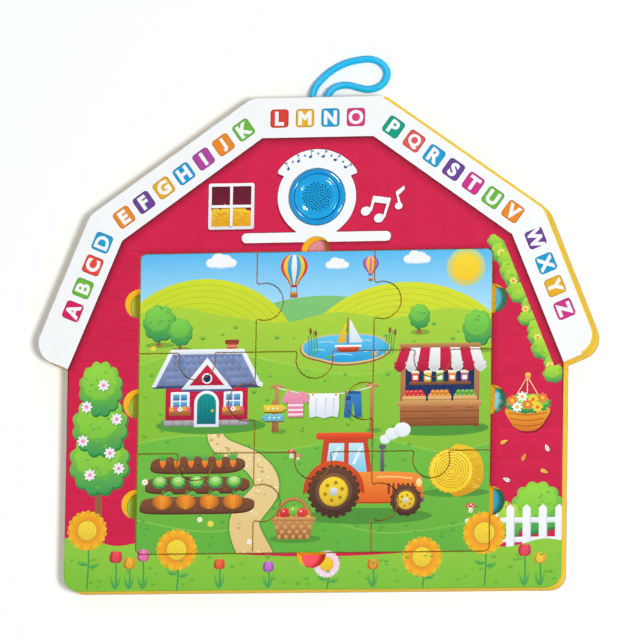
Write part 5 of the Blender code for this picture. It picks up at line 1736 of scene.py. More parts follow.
def stand(sheet, x, y):
    """A fruit stand with a striped awning and crates."""
    sheet.paint(oval(x, y - 0.5, 32, 5.0), scaled(MEADOW, 0.82))
    sheet.paint(box_shape(x - 23, y + 13, x + 23, y + 42), (20, 38, 84), (32, 58, 110))
    for i in range(9):
        sheet.paint(box_shape(x - 23 + i * 5.1, y + 13, x - 22.6 + i * 5.1, y + 42), (12, 26, 66))
    sheet.paint(box_shape(x - 20, y + 27.4, x + 20, y + 29.4), (150, 98, 58), (110, 66, 38))
    for i, colour in enumerate(
        ((230, 70, 60), (255, 200, 40), (120, 190, 70), (240, 130, 40), (190, 90, 160))
    ):
        a = x - 16 + 8 * i
        sheet.paint(
            box_shape(a - 2.4, y + 29.4, a + 2.4, y + 35.4, 1.0), mixed(colour, (255, 255, 255), 0.15),
            scaled(colour, 0.82)
        )
        sheet.paint(box_shape(a - 2.7, y + 35.0, a + 2.7, y + 36.8, 0.6), CREAM)
        sheet.paint(box_shape(a - 1.5, y + 30.8, a + 1.5, y + 33.4, 0.3), (255, 250, 236))
    for side in (-1, 1):
        sheet.paint(
            box_shape(x + side * 24 - 1.7, y, x + side * 24 + 1.7, y + 44, 0.5), (200, 136, 84),
            (150, 92, 52)
        )
    sheet.paint(box_shape(x - 25.5, y + 1, x + 25.5, y + 14.5, 0.6), (186, 116, 66), (140, 80, 44))
    for k in range(3):
        sheet.paint(box_shape(x - 25.5, y + 1.2 + 4.5 * k, x + 25.5, y + 1.7 + 4.5 * k), (118, 66, 36))
    rng = random.Random(11)
    for k in range(9):
        a = x + rng.uniform(-23, 23)
        sheet.paint(at(box_shape(-2.2, -0.2, 2.2, 0.2), a, y + 3.4 + 4.5 * (k % 3)), (120, 68, 38))
    sheet.paint(box_shape(x - 27.5, y + 13.8, x + 27.5, y + 17.0, 0.9), (226, 168, 110), (188, 126, 76))
    for i, colour in enumerate(((232, 56, 52), (250, 146, 40), (112, 180, 60))):
        a = x - 16.5 + 16.5 * i
        for row in range(2):
            for k in range(5 - row):
                spot = (a - 5.6 + 2.8 * k + 1.4 * row, y + 20.4 + 2.2 * row)
                sheet.paint(
                    oval(*spot, 1.75, 1.65, count=14), scaled(colour, 1.1), scaled(colour, 0.78)
                )
                sheet.paint(
                    oval(spot[0] - 0.5, spot[1] + 0.6, 0.45, 0.3, count=7),
                    mixed(colour, (255, 255, 255), 0.7)
                )
        sheet.paint(
            box_shape(a - 7.6, y + 15.6, a + 7.6, y + 20.2, 0.5), (240, 192, 124), (204, 146, 84)
        )
        sheet.paint(box_shape(a - 7.6, y + 17.7, a + 7.6, y + 18.1), (168, 112, 60))
    for i in range(8):
        colour = RED if i % 2 == 0 else (255, 255, 255)
        low_left, low_right = x - 30 + 7.5 * i, x - 30 + 7.5 * (i + 1)
        high_left, high_right = x - 25 + 6.25 * i, x - 25 + 6.25 * (i + 1)
        scallop = [
            (low_right + (low_left - low_right) * t, y + 38.6 - 2.8 * math.sin(math.pi * t))
            for t in np.linspace(0, 1, 9)
        ]
        sheet.paint(
            np.array([
                (high_right, y + 52.5), (high_left, y + 52.5),
                *scallop[::-1]
            ])[::-1],
            scaled(colour, 1.0), scaled(colour, 0.86)
        )
    for i in range(8):
        colour = RED if i % 2 == 0 else (255, 255, 255)
        left = x - 30 + 7.5 * i
        scallop = [
            (left + 7.5 * t, y + 41.4 - 4.6 * math.sin(math.pi * t)) for t in np.linspace(0, 1, 11)
        ]
        sheet.paint(
            np.array([*scallop, (left + 7.5, y + 42.2), (left, y + 42.2)]), scaled(colour, 0.93),
            scaled(colour, 0.8)
        )
    sheet.paint(box_shape(x - 26.5, y + 51.4, x + 26.5, y + 54.2, 1.2), (206, 150, 96), (166, 108, 62))


def wheel(sheet, x, y, radius, hub):
    lugs = max(12, int(radius * 1.4))
    for i in range(lugs):
        lug = box_shape(radius * 0.9, -radius * 0.09, radius * 1.07, radius * 0.09)
        sheet.paint(at(lug, x, y, 1.0, 2 * math.pi * i / lugs), (74, 48, 36))
    sheet.paint(oval(x, y, radius, count=40), (104, 68, 48), (70, 44, 34))
    sheet.paint(oval(x, y, radius * 0.74, count=36), (134, 92, 64), (96, 62, 44))
    sheet.paint(oval(x, y, radius * 0.6, count=32), scaled(hub, 0.8))
    sheet.paint(
        oval(x - radius * 0.02, y + radius * 0.03, radius * 0.56, count=32), scaled(hub, 1.06),
        scaled(hub, 0.9)
    )
    for i in range(6):
        angle = math.pi * i / 3 + 0.3
        sheet.paint(
            oval(
                x + radius * 0.36 * math.cos(angle), y + radius * 0.36 * math.sin(angle), radius * 0.08,
                count=10
            ),
            scaled(hub, 0.66)
        )
    sheet.paint(oval(x, y, radius * 0.17, count=16), (236, 240, 246), (176, 184, 198))


def tractor(sheet, x, y):
    """An orange tractor with a cab, seen from its side."""
    sheet.paint(oval(x + 2, y - 0.5, 42, 5.2), scaled(MEADOW, 0.8))
    sheet.paint(box_shape(x + 10, y + 27, x + 12.6, y + 44, 0.8), (120, 120, 132), (84, 84, 98))
    sheet.paint(box_shape(x + 9, y + 42.6, x + 13.6, y + 45.2, 0.9), (96, 96, 110))
    puff = ((13, 49, 3.4), (17.5, 52.6, 4.4), (24, 55, 5.4))
    for a, b, r in puff:
        sheet.paint(oval(x + a, y + b - 0.6, r, r * 0.82, count=26), (206, 226, 200))
        sheet.paint(oval(x + a, y + b, r, r * 0.82, count=26), (250, 252, 255), (232, 240, 246))
    cab = np.array([(x - 30, y + 24), (x - 27, y + 50), (x + 1.5, y + 50), (x + 5.0, y + 24)])
    sheet.paint(cab, (210, 70, 40))
    glass = np.array(
        [(x - 25.6, y + 27), (x - 23.4, y + 46.6), (x - 13.6, y + 46.6), (x - 13.6, y + 27)]
    )
    sheet.paint(glass, (200, 238, 252), (130, 204, 236))
    glass = np.array([(x - 10.6, y + 27), (x - 10.6, y + 46.6), (x - 1.2, y + 46.6), (x + 1.4, y + 27)])
    sheet.paint(glass, (200, 238, 252), (130, 204, 236))
    for a in (-22.6, -8.4):
        sheet.paint(
            np.array(
                [(x + a, y + 33), (x + a + 5, y + 44.6), (x + a + 7, y + 44.6), (x + a + 2, y + 33)]
            ),
            (236, 250, 255)
        )
    sheet.paint(box_shape(x - 32, y + 49, x + 5.5, y + 53.4, 1.8), (246, 92, 48), (206, 60, 34))
    body = curve([
        (x - 32, y + 12), (x - 32, y + 27), (x - 4, y + 28), (x + 26, y + 27.5), (x + 36, y + 25),
        (x + 37.6, y + 16), (x + 35, y + 10), (x, y + 8.5)
    ])
    sheet.paint(body - (0, 0.9), (176, 60, 24))
    sheet.paint(body, (252, 150, 60), (232, 96, 34))
    sheet.paint(line([(x + 8, y + 24.6), (x + 20, y + 24.6), (x + 31, y + 23.4)], 1.2), (255, 196, 120))
    for i in range(6):
        sheet.paint(
            box_shape(x + 15 + 3.1 * i, y + 13.4, x + 16.5 + 3.1 * i, y + 20.6, 0.6), (150, 54, 24)
        )
    sheet.paint(oval(x + 35.4, y + 20.6, 1.9, 2.8), (255, 246, 190), (250, 206, 80))
    sheet.paint(box_shape(x + 32, y + 8.2, x + 39, y + 11, 0.8), (110, 110, 124))
    guard = [
        (x - 20 + 20 * math.cos(t), y + 15.5 + 20 * math.sin(t))
        for t in np.linspace(-0.1, math.pi + 0.1, 26)
    ]
    sheet.paint(np.array([*guard, (x - 38, y + 15), (x - 2, y + 15)]), (222, 84, 34), (196, 64, 26))
    wheel(sheet, x - 20, y + 15.5, 16.0, (255, 208, 50))
    wheel(sheet, x + 27, y + 9.4, 9.8, (255, 208, 50))


def bale(sheet, x, y, radius):
    """A round hay bale, its flat end to the front."""
    sheet.paint(oval(x + 3, y - radius * 0.96, radius * 1.5, radius * 0.2), scaled(MEADOW, 0.82))
    side = np.array(
        [(x, y + radius), (x + radius * 0.9, y + radius * 1.02), (x + radius * 1.36, y + radius * 0.5)]
    )
    side = curve([
        *side, (x + radius * 1.42, y - radius * 0.4), (x + radius * 1.0, y - radius * 0.92),
        (x, y - radius)
    ])
    sheet.paint(side, (246, 204, 44), (216, 152, 28))
    rng = random.Random(int(x) + 7)
    for _ in range(26):
        a, b = rng.uniform(0.55, 1.25), rng.uniform(-0.8, 0.85)
        sheet.paint(
            at(
                np.array([(-2.4, -0.18), (2.4, -0.1), (2.2, 0.24), (-2.3, 0.16)]), x + radius * a,
                y + radius * b, radius / 18, rng.uniform(-0.3, 0.3)
            ),
            ((255, 232, 92), (206, 146, 24))[rng.random() < 0.5]
        )
    sheet.paint(crown(x, y, radius * 1.02, radius * 1.0, 26, 0.05), (228, 168, 30))
    sheet.paint(crown(x, y, radius * 0.98, radius * 0.96, 26, 0.05), (255, 232, 66), (248, 208, 40))
    coil = [
        (
            x + radius * (0.08 + 0.125 * t) * math.cos(2.1 * math.pi * t + 0.4),
            y + radius * (0.08 + 0.125 * t) * math.sin(2.1 * math.pi * t + 0.4)
        ) for t in np.linspace(0, 6, 140)
    ]
    sheet.paint(ribbon(np.array(coil), radius * 0.04), (222, 158, 30))
    for _ in range(40):
        angle, reach = rng.uniform(0, 6.28), radius * math.sqrt(rng.uniform(0.02, 0.8))
        straw = np.array([(-1.7, -0.16), (1.7, -0.1), (1.6, 0.2), (-1.6, 0.14)])
        sheet.paint(
            at(
                straw, x + reach * math.cos(angle), y + reach * math.sin(angle), radius / 18,
                angle + math.pi / 2 + rng.uniform(-0.4, 0.4)
            ),
            ((255, 244, 130), (232, 176, 34))[rng.random() < 0.5]
        )


def patch(sheet, x, y):
    """Three rows of soil with carrots, lettuces and pumpkins."""
    for row in range(3):
        level = y - 13 * row
        shift = 3.2 * row
        bed = curve([
            (x - 30 - shift, level), (x - 24 - shift, level + 4.4), (x, level + 5.2),
            (x + 26 + shift, level + 4.2), (x + 32 + shift, level), (x + 24 + shift, level - 4.4),
            (x, level - 5), (x - 26 - shift, level - 4.4)
        ])
        sheet.paint(bed - (0, 1.2), scaled(SOIL, 0.72))
        sheet.paint(bed, scaled(SOIL, 1.12), scaled(SOIL, 0.88))
        rng = random.Random(20 + row)
        for _ in range(26):
            a, b = rng.uniform(-27, 28), rng.uniform(-3.4, 3.4)
            sheet.paint(
                oval(x + a, level + b, rng.uniform(0.5, 1.1), rng.uniform(0.35, 0.6), count=8),
                scaled(SOIL, rng.choice((0.78, 1.3)))
            )
    for i in range(6):
        a, b = x - 22 + 9.2 * i, y + 1.5
        sheet.paint(
            curve([
                (a - 1.9, b + 0.6), (a, b + 1.6), (a + 1.9, b + 0.6), (a + 1.2, b - 2.6),
                (a, b - 3.6), (a - 1.2, b - 2.6)
            ]),
            (255, 150, 48), (236, 108, 28)
        )
        for lean in (-0.62, -0.2, 0.25, 0.68):
            frond = curve([(-0.5, 0), (-1.0, 3.8), (0, 7.6), (1.0, 3.8), (0.5, 0)])
            sheet.paint(at(frond, a, b + 0.8, 0.82, lean), LEAF, DEEP_LEAF)
    for i in range(5):
        a, b = x - 24 + 12.2 * i, y - 11.2
        sheet.paint(crown(a, b, 5.2, 4.5, 9, 0.13), (70, 164, 78), SHADE_LEAF)
        sheet.paint(crown(a, b + 0.5, 4.2, 3.5, 8, 0.14), (150, 216, 104), LEAF)
        sheet.paint(crown(a, b + 0.8, 2.7, 2.2, 6, 0.15), (196, 236, 140), (150, 212, 100))
        for lean in (-0.9, -0.3, 0.3, 0.9):
            sheet.paint(at(box_shape(-0.12, 0.4, 0.12, 3.0), a, b, 1.0, lean), (222, 246, 180))
    for i in range(4):
        a, b = x - 22 + 15.4 * i, y - 24
        for share, shade_share in ((1.0, 0.84), (0.66, 0.96), (0.3, 1.08)):
            sheet.paint(
                oval(a, b, 6.2 * share, 4.9, count=28), scaled((250, 146, 40), shade_share * 1.03),
                scaled((250, 146, 40), shade_share * 0.86)
            )
        sheet.paint(
            curve([(a - 0.8, b + 4.2), (a + 0.8, b + 4.2), (a + 1.6, b + 7.2), (a + 0.2, b + 7.4)]),
            (70, 140, 60)
        )
        sheet.paint(
            curve([(a + 1, b + 5.0), (a + 4.6, b + 6.8), (a + 7.2, b + 4.8), (a + 4.2, b + 3.6)]), LEAF,
            DEEP_LEAF
        )


def basket(sheet, x, y):
    """A wicker basket of apples."""
    sheet.paint(oval(x + 1, y - 8.6, 17, 2.8), scaled(MEADOW, 0.82))
    handle = [
        (x + 11.5 * math.cos(t), y + 2 + 15 * math.sin(t)) for t in np.linspace(0.1, math.pi - 0.1, 22)
    ]
    sheet.paint(ribbon(np.array(handle), 2.2), (150, 92, 50))
    sheet.paint(ribbon(np.array(handle) + (-0.2, 0.3), 1.3), (206, 144, 84))
    for k, (a, b) in enumerate(
        ((-8, 4), (-2.8, 5.4), (3, 5.2), (8, 3.8), (-5.4, 8), (0.4, 9.2), (5.8, 8))
    ):
        colour = ((232, 50, 56), (140, 200, 60), (240, 70, 60), (250, 190, 50))[k % 4]
        sheet.paint(oval(x + a, y + b, 3.5, 3.3, count=20), scaled(colour, 1.08), scaled(colour, 0.8))
        sheet.paint(
            oval(x + a - 1.1, y + b + 1.2, 0.9, 0.6, 0.6, 8), mixed(colour, (255, 255, 255), 0.65)
        )
        sheet.paint(at(box_shape(-0.2, 0, 0.2, 1.6), x + a, y + b + 2.8, 1.0, -0.3), (100, 64, 34))
    tub = np.array([(x - 13.4, y + 4), (x + 13.4, y + 4), (x + 10.4, y - 8.8), (x - 10.4, y - 8.8)])
    sheet.paint(tub, (206, 146, 84), (156, 98, 54))
    for row in range(4):
        for i in range(9):
            half = 12.6 - 0.75 * row
            a = x - half + 2 * half * (i + 0.5) / 9
            if (i + row) % 2:
                sheet.paint(
                    box_shape(
                        a - half / 9.5, y + 0.6 - 3.1 * row, a + half / 9.5, y + 3.2 - 3.1 * row, 0.8
                    ),
                    (232, 178, 112), (194, 134, 76)
                )
    sheet.paint(box_shape(x - 14.4, y + 2.6, x + 14.4, y + 5.4, 1.3), (226, 168, 104), (176, 116, 64))


def pond(sheet, x, y):
    sheet.paint(blotch(x, y - 0.8, 30, 10.8, 4), scaled(SOIL, 1.25))
    sheet.paint(blotch(x, y - 0.2, 29.4, 10.4, 4), (226, 200, 130))
    sheet.paint(blotch(x, y, 28, 9.4, 4), (104, 206, 246), (28, 160, 222))
    for a, b, w in (
        (-14, 3.6, 5), (9, 4.4, 6), (-4, -4.6, 7), (15, -2.6, 5), (-19, -1.4, 4), (4, 0.4, 4)
    ):
        sheet.paint(
            line([(x + a - w, y + b), (x + a, y + b + 0.7), (x + a + w, y + b)], 0.6), (176, 232, 252)
        )
    sheet.paint(
        np.array([(x - 8.5, y + 1.2), (x + 8.5, y + 1.2), (x + 5.6, y - 2.8), (x - 5.6, y - 2.8)]),
        (236, 84, 60), (190, 46, 40)
    )
    sheet.paint(box_shape(x - 8.8, y + 0.6, x + 8.8, y + 1.9, 0.5), (255, 255, 255))
    sheet.paint(box_shape(x - 0.9, y + 1.9, x + 0.1, y + 19.5, 0.3), (166, 110, 66))
    sheet.paint(
        np.array([(x + 0.9, y + 18.8), (x + 0.9, y + 3.4), (x + 9.6, y + 3.4)]), (255, 255, 255),
        (226, 232, 244)
    )
    sheet.paint(
        np.array([(x - 1.7, y + 16.8), (x - 1.7, y + 3.4), (x - 7.6, y + 3.4)]), (255, 214, 60),
        (244, 178, 36)
    )
    for side, base in ((-1, -25), (1, 24)):
        for k in range(4):
            a = x + base + 1.7 * k
            sheet.paint(
                line(
                    [
                        (a, y - 5 + k % 2), (a + side * 0.6, y + 3),
                        (a + side * 1.3, y + 8 + 1.5 * (k % 3))
                    ],
                    0.6
                ),
                DEEP_LEAF
            )
            if k % 2:
                sheet.paint(
                    at(oval(0, 0, 0.9, 2.1), a + side * 1.4, y + 9.6 + 1.5 * (k % 3), 1.0, -side * 0.1),
                    (140, 84, 48)
                )
    sheet.paint(oval(x + 17, y - 4.6, 3.0, 1.2), (90, 186, 90))
    daisy(sheet, x + 17.4, y - 3.9, 1.6, ROSE)
    sheet.paint(oval(x - 12, y - 5.8, 2.6, 1.0), (90, 186, 90))


def signpost(sheet, x, y):
    sheet.paint(box_shape(x - 1.1, y, x + 1.1, y + 21, 0.8), (196, 134, 82), (150, 94, 54))
    for level, side, colour in ((15.5, 1, (255, 216, 70)), (9.5, -1, (120, 204, 226))):
        arrow = np.array([(-6.6, -2.2), (5.4, -2.2), (8.6, 0), (5.4, 2.2), (-6.6, 2.2)]) * (side, 1)
        sheet.paint(arrow + (x + 0.2, y + level - 0.7), (110, 70, 40))
        sheet.paint(arrow + (x, y + level), colour, scaled(colour, 0.86))
        for k in range(3):
            sheet.paint(oval(x + side * (-3.4 + 3 * k), y + level, 0.6), (255, 255, 255))


def mushroom(sheet, x, y, size):
    sheet.paint(
        at(curve([(-0.8, -1.6), (-0.5, 0.4), (0.5, 0.4), (0.8, -1.6)]), x, y, size), (255, 246, 226),
        (226, 206, 176)
    )
    cap = [(2.0 * math.cos(t), 0.2 + 1.7 * math.sin(t)) for t in np.linspace(0, math.pi, 14)]
    sheet.paint(at(np.array(cap), x, y, size), (244, 76, 60), (206, 36, 40))
    for a, b, r in ((-0.9, 0.8, 0.3), (0.1, 1.3, 0.35), (0.95, 0.7, 0.28)):
        sheet.paint(oval(x + a * size, y + b * size, r * size, count=9), (255, 244, 240))


def paint_scenery(sheet):
    """What lies inside the window only: sky, fields, buildings."""
    sheet.paint(box_shape(-120, -140, 120, 64), (78, 188, 244), (178, 230, 252), (0, 62, 0, 20))
    for radius, share in ((12.5, 0.55), (10.5, 0.3), (8.6, 0.0)):
        sheet.paint(
            oval(98, 47, radius, count=44), mixed((255, 224, 60), (150, 214, 242), share),
            mixed((255, 206, 40), (150, 214, 242), share)
        )
    cloud(sheet, -62, 52.5, 5.2)
    cloud(sheet, 14, 50, 4.0)
    cloud(sheet, 66, 53, 4.6)
    sheet.paint(oval(6, -6, 70, 36, count=80), (132, 202, 120), (110, 190, 96))
    hill(sheet, -72, -12, 62, 54, (206, 220, 44), (168, 206, 56))
    hill(sheet, 60, -20, 72, 58, (214, 222, 46), (158, 204, 58), 14)
    balloon(sheet, -14, 46.5, 9.0, ((232, 60, 62), (255, 212, 60), (60, 170, 220), (255, 255, 255)))
    balloon(sheet, 36, 49, 5.2, ((110, 80, 170), (244, 120, 160), (255, 214, 70), (244, 120, 160)))
    meadow = curve(
        [(-125, 18), (-92, 24), (-60, 18), (-22, 13), (14, 19), (52, 15), (88, 21), (125, 15)], False
    )
    sheet.paint(
        np.array([*meadow, (125, -145), (-125, -145)]), (178, 216, 64), (112, 190, 66), (0, 22, 0, -80)
    )
    for row, colour in (
        ((-125, -16), (-70, -4), (-20, -14), (30, -22), (80, -12), (125, -20)), (146, 206, 62)
    ), (
        ((-125, -66), (-76, -60), (-24, -70), (34, -62), (84, -72), (125, -64)), (116, 194, 68)
    ), (((-125, -112), (-66, -122), (-8, -112), (50, -124), (125, -114)), (104, 186, 66)):
        edge = curve(list(row), False)
        sheet.paint(
            np.array([*(edge + (0, 1.0)), (125, -145), (-125, -145)]),
            mixed(colour, (210, 236, 110), 0.35), scaled(colour, 0.98),
            (0, row[0][1] + 6, 0, row[0][1] - 40)
        )
        sheet.paint(
            np.array([*edge, (125, -145), (-125, -145)]), colour, scaled(colour, 0.93),
            (0, row[0][1] + 6, 0, row[0][1] - 60)
        )
    rng = random.Random(9)
    for _ in range(150):
        a, b = rng.uniform(-112, 112), rng.uniform(-132, 10)
        tuft(sheet, a, b, rng.uniform(1.6, 2.8), mixed((90, 172, 62), (60, 156, 70), rng.random()))
    path = curve([(-66, -52), (-60, -66), (-38, -78), (-30, -94), (-44, -116), (-34, -142)], False)
    widths = np.linspace(8, 21, len(path))
    sheet.paint(ribbon(path, 10.5, 24.5), scaled(MEADOW, 0.86))
    sheet.paint(ribbon(path, 9, 22), (246, 222, 160), (232, 196, 128))
    for _ in range(44):
        i = rng.randrange(len(path))
        a, b = path[i] + (rng.uniform(-0.4, 0.4) * widths[i], rng.uniform(-1.5, 1.5))
        sheet.paint(
            oval(a, b, rng.uniform(0.6, 1.6), rng.uniform(0.4, 0.9), count=9),
            rng.choice(((222, 184, 118), (255, 238, 196), (206, 166, 104)))
        )
    pond(sheet, 22, -4)
    for x, y, half_x, half_y, seed in (
        (-102, 14, 11, 12, 1), (-88, 8, 8, 9, 2), (106, 8, 10, 12, 3), (68, 16, 7, 8, 4)
    ):
        sheet.paint(oval(x + 1, y - half_y - 2.6, half_x * 0.9, 1.8), scaled(FIELD, 0.85))
        trunk(sheet, x, y - half_y - 3.2, 1.8, 8)
        leafy(sheet, x, y, half_x, half_y, 9, seed, ((124, 200, 74), (96, 184, 74), (52, 150, 84)))
    cottage(sheet, -70, -52)
    washing(sheet, -24, 38, -30)
    stand(sheet, 82, -56)
    signpost(sheet, -26, -58)
    patch(sheet, -76, -78)
    tractor(sheet, 34, -112)
    bale(sheet, 90, -84, 14.5)
    basket(sheet, -12, -118)
    mushroom(sheet, -14, -72, 1.6)
    mushroom(sheet, -9.6, -74, 1.1)
    mushroom(sheet, 103, -108, 1.7)
    for i in range(26):
        a, b = rng.uniform(-110, 110), rng.uniform(-130, 4)
        if not (-104 < a < -38 and b > -112 or -28 < a < 118 and b > -112 and not -66 < b < -58):
            daisy(
                sheet, a, b, rng.uniform(1.7, 2.4),
                rng.choice(((255, 255, 255), (255, 226, 90), (255, 255, 255), (250, 170, 196)))
            )


def paint_garden(sheet):
    """The ground and plants on the tray's sides."""
    poplar = (-140.0, -46.0)
    trunk(sheet, poplar[0], -131, 4.6, 38)
    for level, half_x, half_y, seed in ((-76, 20, 21, 5), (-52, 18.5, 20, 6), (-28, 14.5, 18, 7)):
        leafy(sheet, poplar[0], level, half_x, half_y, 12, seed, ((146, 208, 66), LEAF, (58, 158, 84)))
    for x, y in (
        (-151, -62), (-133, -70), (-146, -84), (-129, -48), (-149, -40), (-138, -26), (-127, -80)
    ):
        daisy(sheet, x + 0.4, y - 0.6, 3.8, (74, 158, 70), (74, 158, 70))
        daisy(sheet, x, y, 3.8, (255, 244, 250), (250, 150, 190))
    x, y = 139.0, -42.0
    for side in (-1, 0, 1):
        sheet.paint(
            np.array([
                (x - 0.35, y + 17.5), (x + 0.35, y + 17.5), (x + side * 11.4 + 0.35, y - 2),
                (x + side * 11.4 - 0.35, y - 2)
            ]),
            (120, 12, 44)
        )
        sheet.paint(
            np.array([
                (x - 0.6, y + 18), (x + 0.1, y + 18), (x + side * 11.4 + 0.05, y - 1.6),
                (x + side * 11.4 - 0.65, y - 1.6)
            ]),
            (255, 222, 150)
        )
    sheet.paint(oval(x, y + 18.6, 2.0), (255, 214, 90), (222, 150, 40))
    pot = curve([
        (x - 13, y - 2), (x - 11, y - 11), (x - 5, y - 16.5), (x + 5, y - 16.5), (x + 11, y - 11),
        (x + 13, y - 2)
    ])
    sheet.paint(pot + (0.8, -1.2), (150, 12, 48))
    sheet.paint(pot, (246, 176, 48), (218, 116, 30))
    for level, half in ((-5.4, 12.3), (-9.0, 11.2), (-12.6, 8.8)):
        sheet.paint(
            line([(x - half, y + level), (x, y + level - 1.4), (x + half, y + level)], 0.7),
            (196, 96, 26)
        )
    sheet.paint(crown(x, y + 0.5, 15.5, 6.6, 13, 0.13), (96, 184, 74), SHADE_LEAF)
    sheet.paint(crown(x, y + 1.7, 13.8, 5.0, 12, 0.13), LIME, LEAF)
    for i, (a, b) in enumerate(
        ((-10, 2.6), (-3.6, 5), (3.4, 3.2), (9.6, 4.2), (-6.8, -1.6), (6.4, -1.8), (0, 0))
    ):
        daisy(
            sheet, x + a, y + b, 3.4, ((255, 120, 60), (255, 255, 255), (255, 220, 60))[i % 3],
            ((255, 216, 60), (250, 190, 40), (240, 110, 40))[i % 3]
        )
    for i, (a, b, turn) in enumerate(
        ((124, -66, 0.4), (152, -70, 2.0), (137, -76, 1.1), (150, -85, -0.5), (126, -90, 2.7))
    ):
        petal = curve([(-2.6, 0), (-0.8, 1.3), (2.6, 0.2), (-0.6, -1.1)])
        sheet.paint(at(petal, a + 0.5, b - 0.7, 1.0, turn), (150, 12, 48))
        sheet.paint(
            at(petal, a, b, 1.0, turn), ((255, 214, 70), (255, 255, 255), (255, 170, 60))[i % 3]
        )
        sheet.paint(at(box_shape(-3.4, -0.18, 1.6, 0.18), a, b, 1.0, turn), (120, 60, 40))
    rng = random.Random(12)
    for i in range(15):
        x, y = 121 + 2.7 * i, 68 - 6.1 * i
        leafy(
            sheet, x + rng.uniform(-2.5, 1.5) - 2, y - 5 + rng.uniform(-2, 2), rng.uniform(5.0, 8.0),
            rng.uniform(4.6, 7.0), 7, i, (LIME, LEAF, DEEP_LEAF)
        )
        if i % 3 == 1:
            daisy(sheet, x - 3, y - 6, 2.6, (255, 236, 120), (244, 130, 40))
    leafy(sheet, 146, -108, 17, 17, 12, 31, ((146, 208, 66), LEAF, (58, 158, 84)))
    leafy(sheet, 126, -116, 12, 12, 10, 32, (LIME, LEAF, DEEP_LEAF), (250, 150, 60))
    fence(sheet, 118, 160, -137, 31, 10.4, 4.8)
    grass = curve(
        [
            (-170, -126), (-150, -124), (-128, -130), (-100, -127), (-60, -135), (0, -138), (60, -136),
            (96, -129), (126, -133), (150, -128), (170, -131)
        ],
        False
    )
    sheet.paint(
        np.array([*grass, (170, -165), (-170, -165)]), (150, 206, 66), (126, 194, 60),
        (0, -124, 0, -160)
    )


def paint_flowers(sheet):
    for x, y, radius, foot, petals, turn, warm in (
        (
            -147, -120, 13.4, -158, 11, 0.1, True
        ), (-88, -133, 13.8, -160, 12, 0.2, True), (72, -139, 13.4, -160, 11, 0.3, True),
        (112, -124, 14.2, -158, 12, 0.0, True), (10, -143, 9.0, -160, 12, 0.1, False),
    ):
        stalk(sheet, x, y, foot, 1.2)
        if warm:
            blossom(sheet, x, y, radius, petals, (255, 206, 40), (236, 60, 36), (255, 214, 60), turn)
        else:
            blossom(sheet, x, y, radius, petals, (255, 240, 244), (250, 176, 200), (255, 206, 46), turn)
    for x, y, size, colour in (
        (-128, -138, 4.4, (240, 70, 80)), (-119, -142, 4.0, (255, 170, 50)), (
            -110, -137, 4.3, (244, 120, 170)
        ), (-60, -143, 3.8, (250, 90, 60)),
        (40, -144, 3.8, (250, 150, 50)), (138, -136, 4.4, (240, 70, 90)), (
            148, -141, 4.0, (255, 196, 60)
        ), (-28, -145, 3.8, (190, 110, 200)),
    ):
        tulip(sheet, x, y, -158, size, colour)
    rng = random.Random(4)
    for _ in range(60):
        tuft(
            sheet, rng.uniform(-158, 158), rng.uniform(-158, -138), rng.uniform(1.8, 3.0), (96, 172, 56)
        )


def paint_floor(sheet):
    """The sheet on the window's floor, seen in the finger notches."""
    sheet.paint(box_shape(-135, -150, 0, 75), (172, 204, 92), (128, 196, 96))
    sheet.paint(box_shape(0, -150, 135, 75), (84, 190, 250), (24, 160, 226))
    sheet.paint(box_shape(-104, 40, 104, 75), (206, 150, 182), (196, 132, 170))
    sheet.paint(box_shape(-104, -150, 104, -118), (240, 104, 132), (230, 84, 118))
    rng = random.Random(8)
    for row in range(7):
        for column in range(8):
            x, y = -98 + 28 * column + 14 * (row % 2), 34 - 24 * row
            base = (150, 204, 100) if x < 0 else (92, 196, 250)
            colour = scaled(mixed(base, (255, 255, 255), 0.22), rng.uniform(0.96, 1.02))
            if (row + column) % 3:
                daisy(sheet, x, y, rng.uniform(6.5, 8.5), colour, mixed(base, (255, 240, 120), 0.6))
            else:
                cloud(sheet, x, y, 5.0)


paint_scenery(picture)
paint_walls(front)
paint_garden(front)
for sheet in (front, picture):
    paint_flowers(sheet)
paint_roof(front)
paint_gable(front)
paint_tiles(front)
paint_floor(floor_sheet)


# Assembly

# Studio: sizes in metres, powers in watts, lamp directions from the object
FLOOR_SIZE, FLOOR_SINK = 6.0, 0.0002
FLOOR_COLOUR, FLOOR_GLOW = (0.93, 0.935, 0.945), 0.13
SKY_COLOUR, SKY_STRENGTH = (0.91, 0.96, 1.0), 0.4
KEY = {"size": 0.9, "power": 163.0, "direction": (0.46, -0.18, 1.0), "distance": 5.0}
GLINT = {"size": 1.0, "power": 260.0, "direction": (0.24, 0.68, 0.85), "distance": 4.0}


def floor_material():
    """A pale paint that shows a little paler to the camera and in reflections, and keeps shadows."""
    paint = bpy.data.materials.new("floor_paint")
    paint.use_nodes = True
    tree = paint.node_tree
    tree.nodes.clear()

    def node(kind, *links, **settings):
        made = tree.nodes.new("ShaderNode" + kind)
        for key, value in settings.items():
            setattr(made, key, value)
        for place, output in enumerate(links):
            tree.links.new(output, made.inputs[place])
        return made

    ray = node("LightPath").outputs
    seen = node("Math", ray["Is Camera Ray"], ray["Is Glossy Ray"], operation="MAXIMUM")
    seen = node("Math", seen.outputs[0], ray["Is Transmission Ray"], operation="MAXIMUM")
    share = node("Math", seen.outputs[0], operation="MULTIPLY")
    share.inputs[1].default_value = FLOOR_GLOW
    diffuse, glow = node("BsdfDiffuse"), node("Emission")
    diffuse.inputs["Color"].default_value = (*FLOOR_COLOUR, 1.0)
    tree.links.new(share.outputs[0], glow.inputs["Strength"])
    node("OutputMaterial", node("AddShader", diffuse.outputs[0], glow.outputs[0]).outputs[0])
    return paint


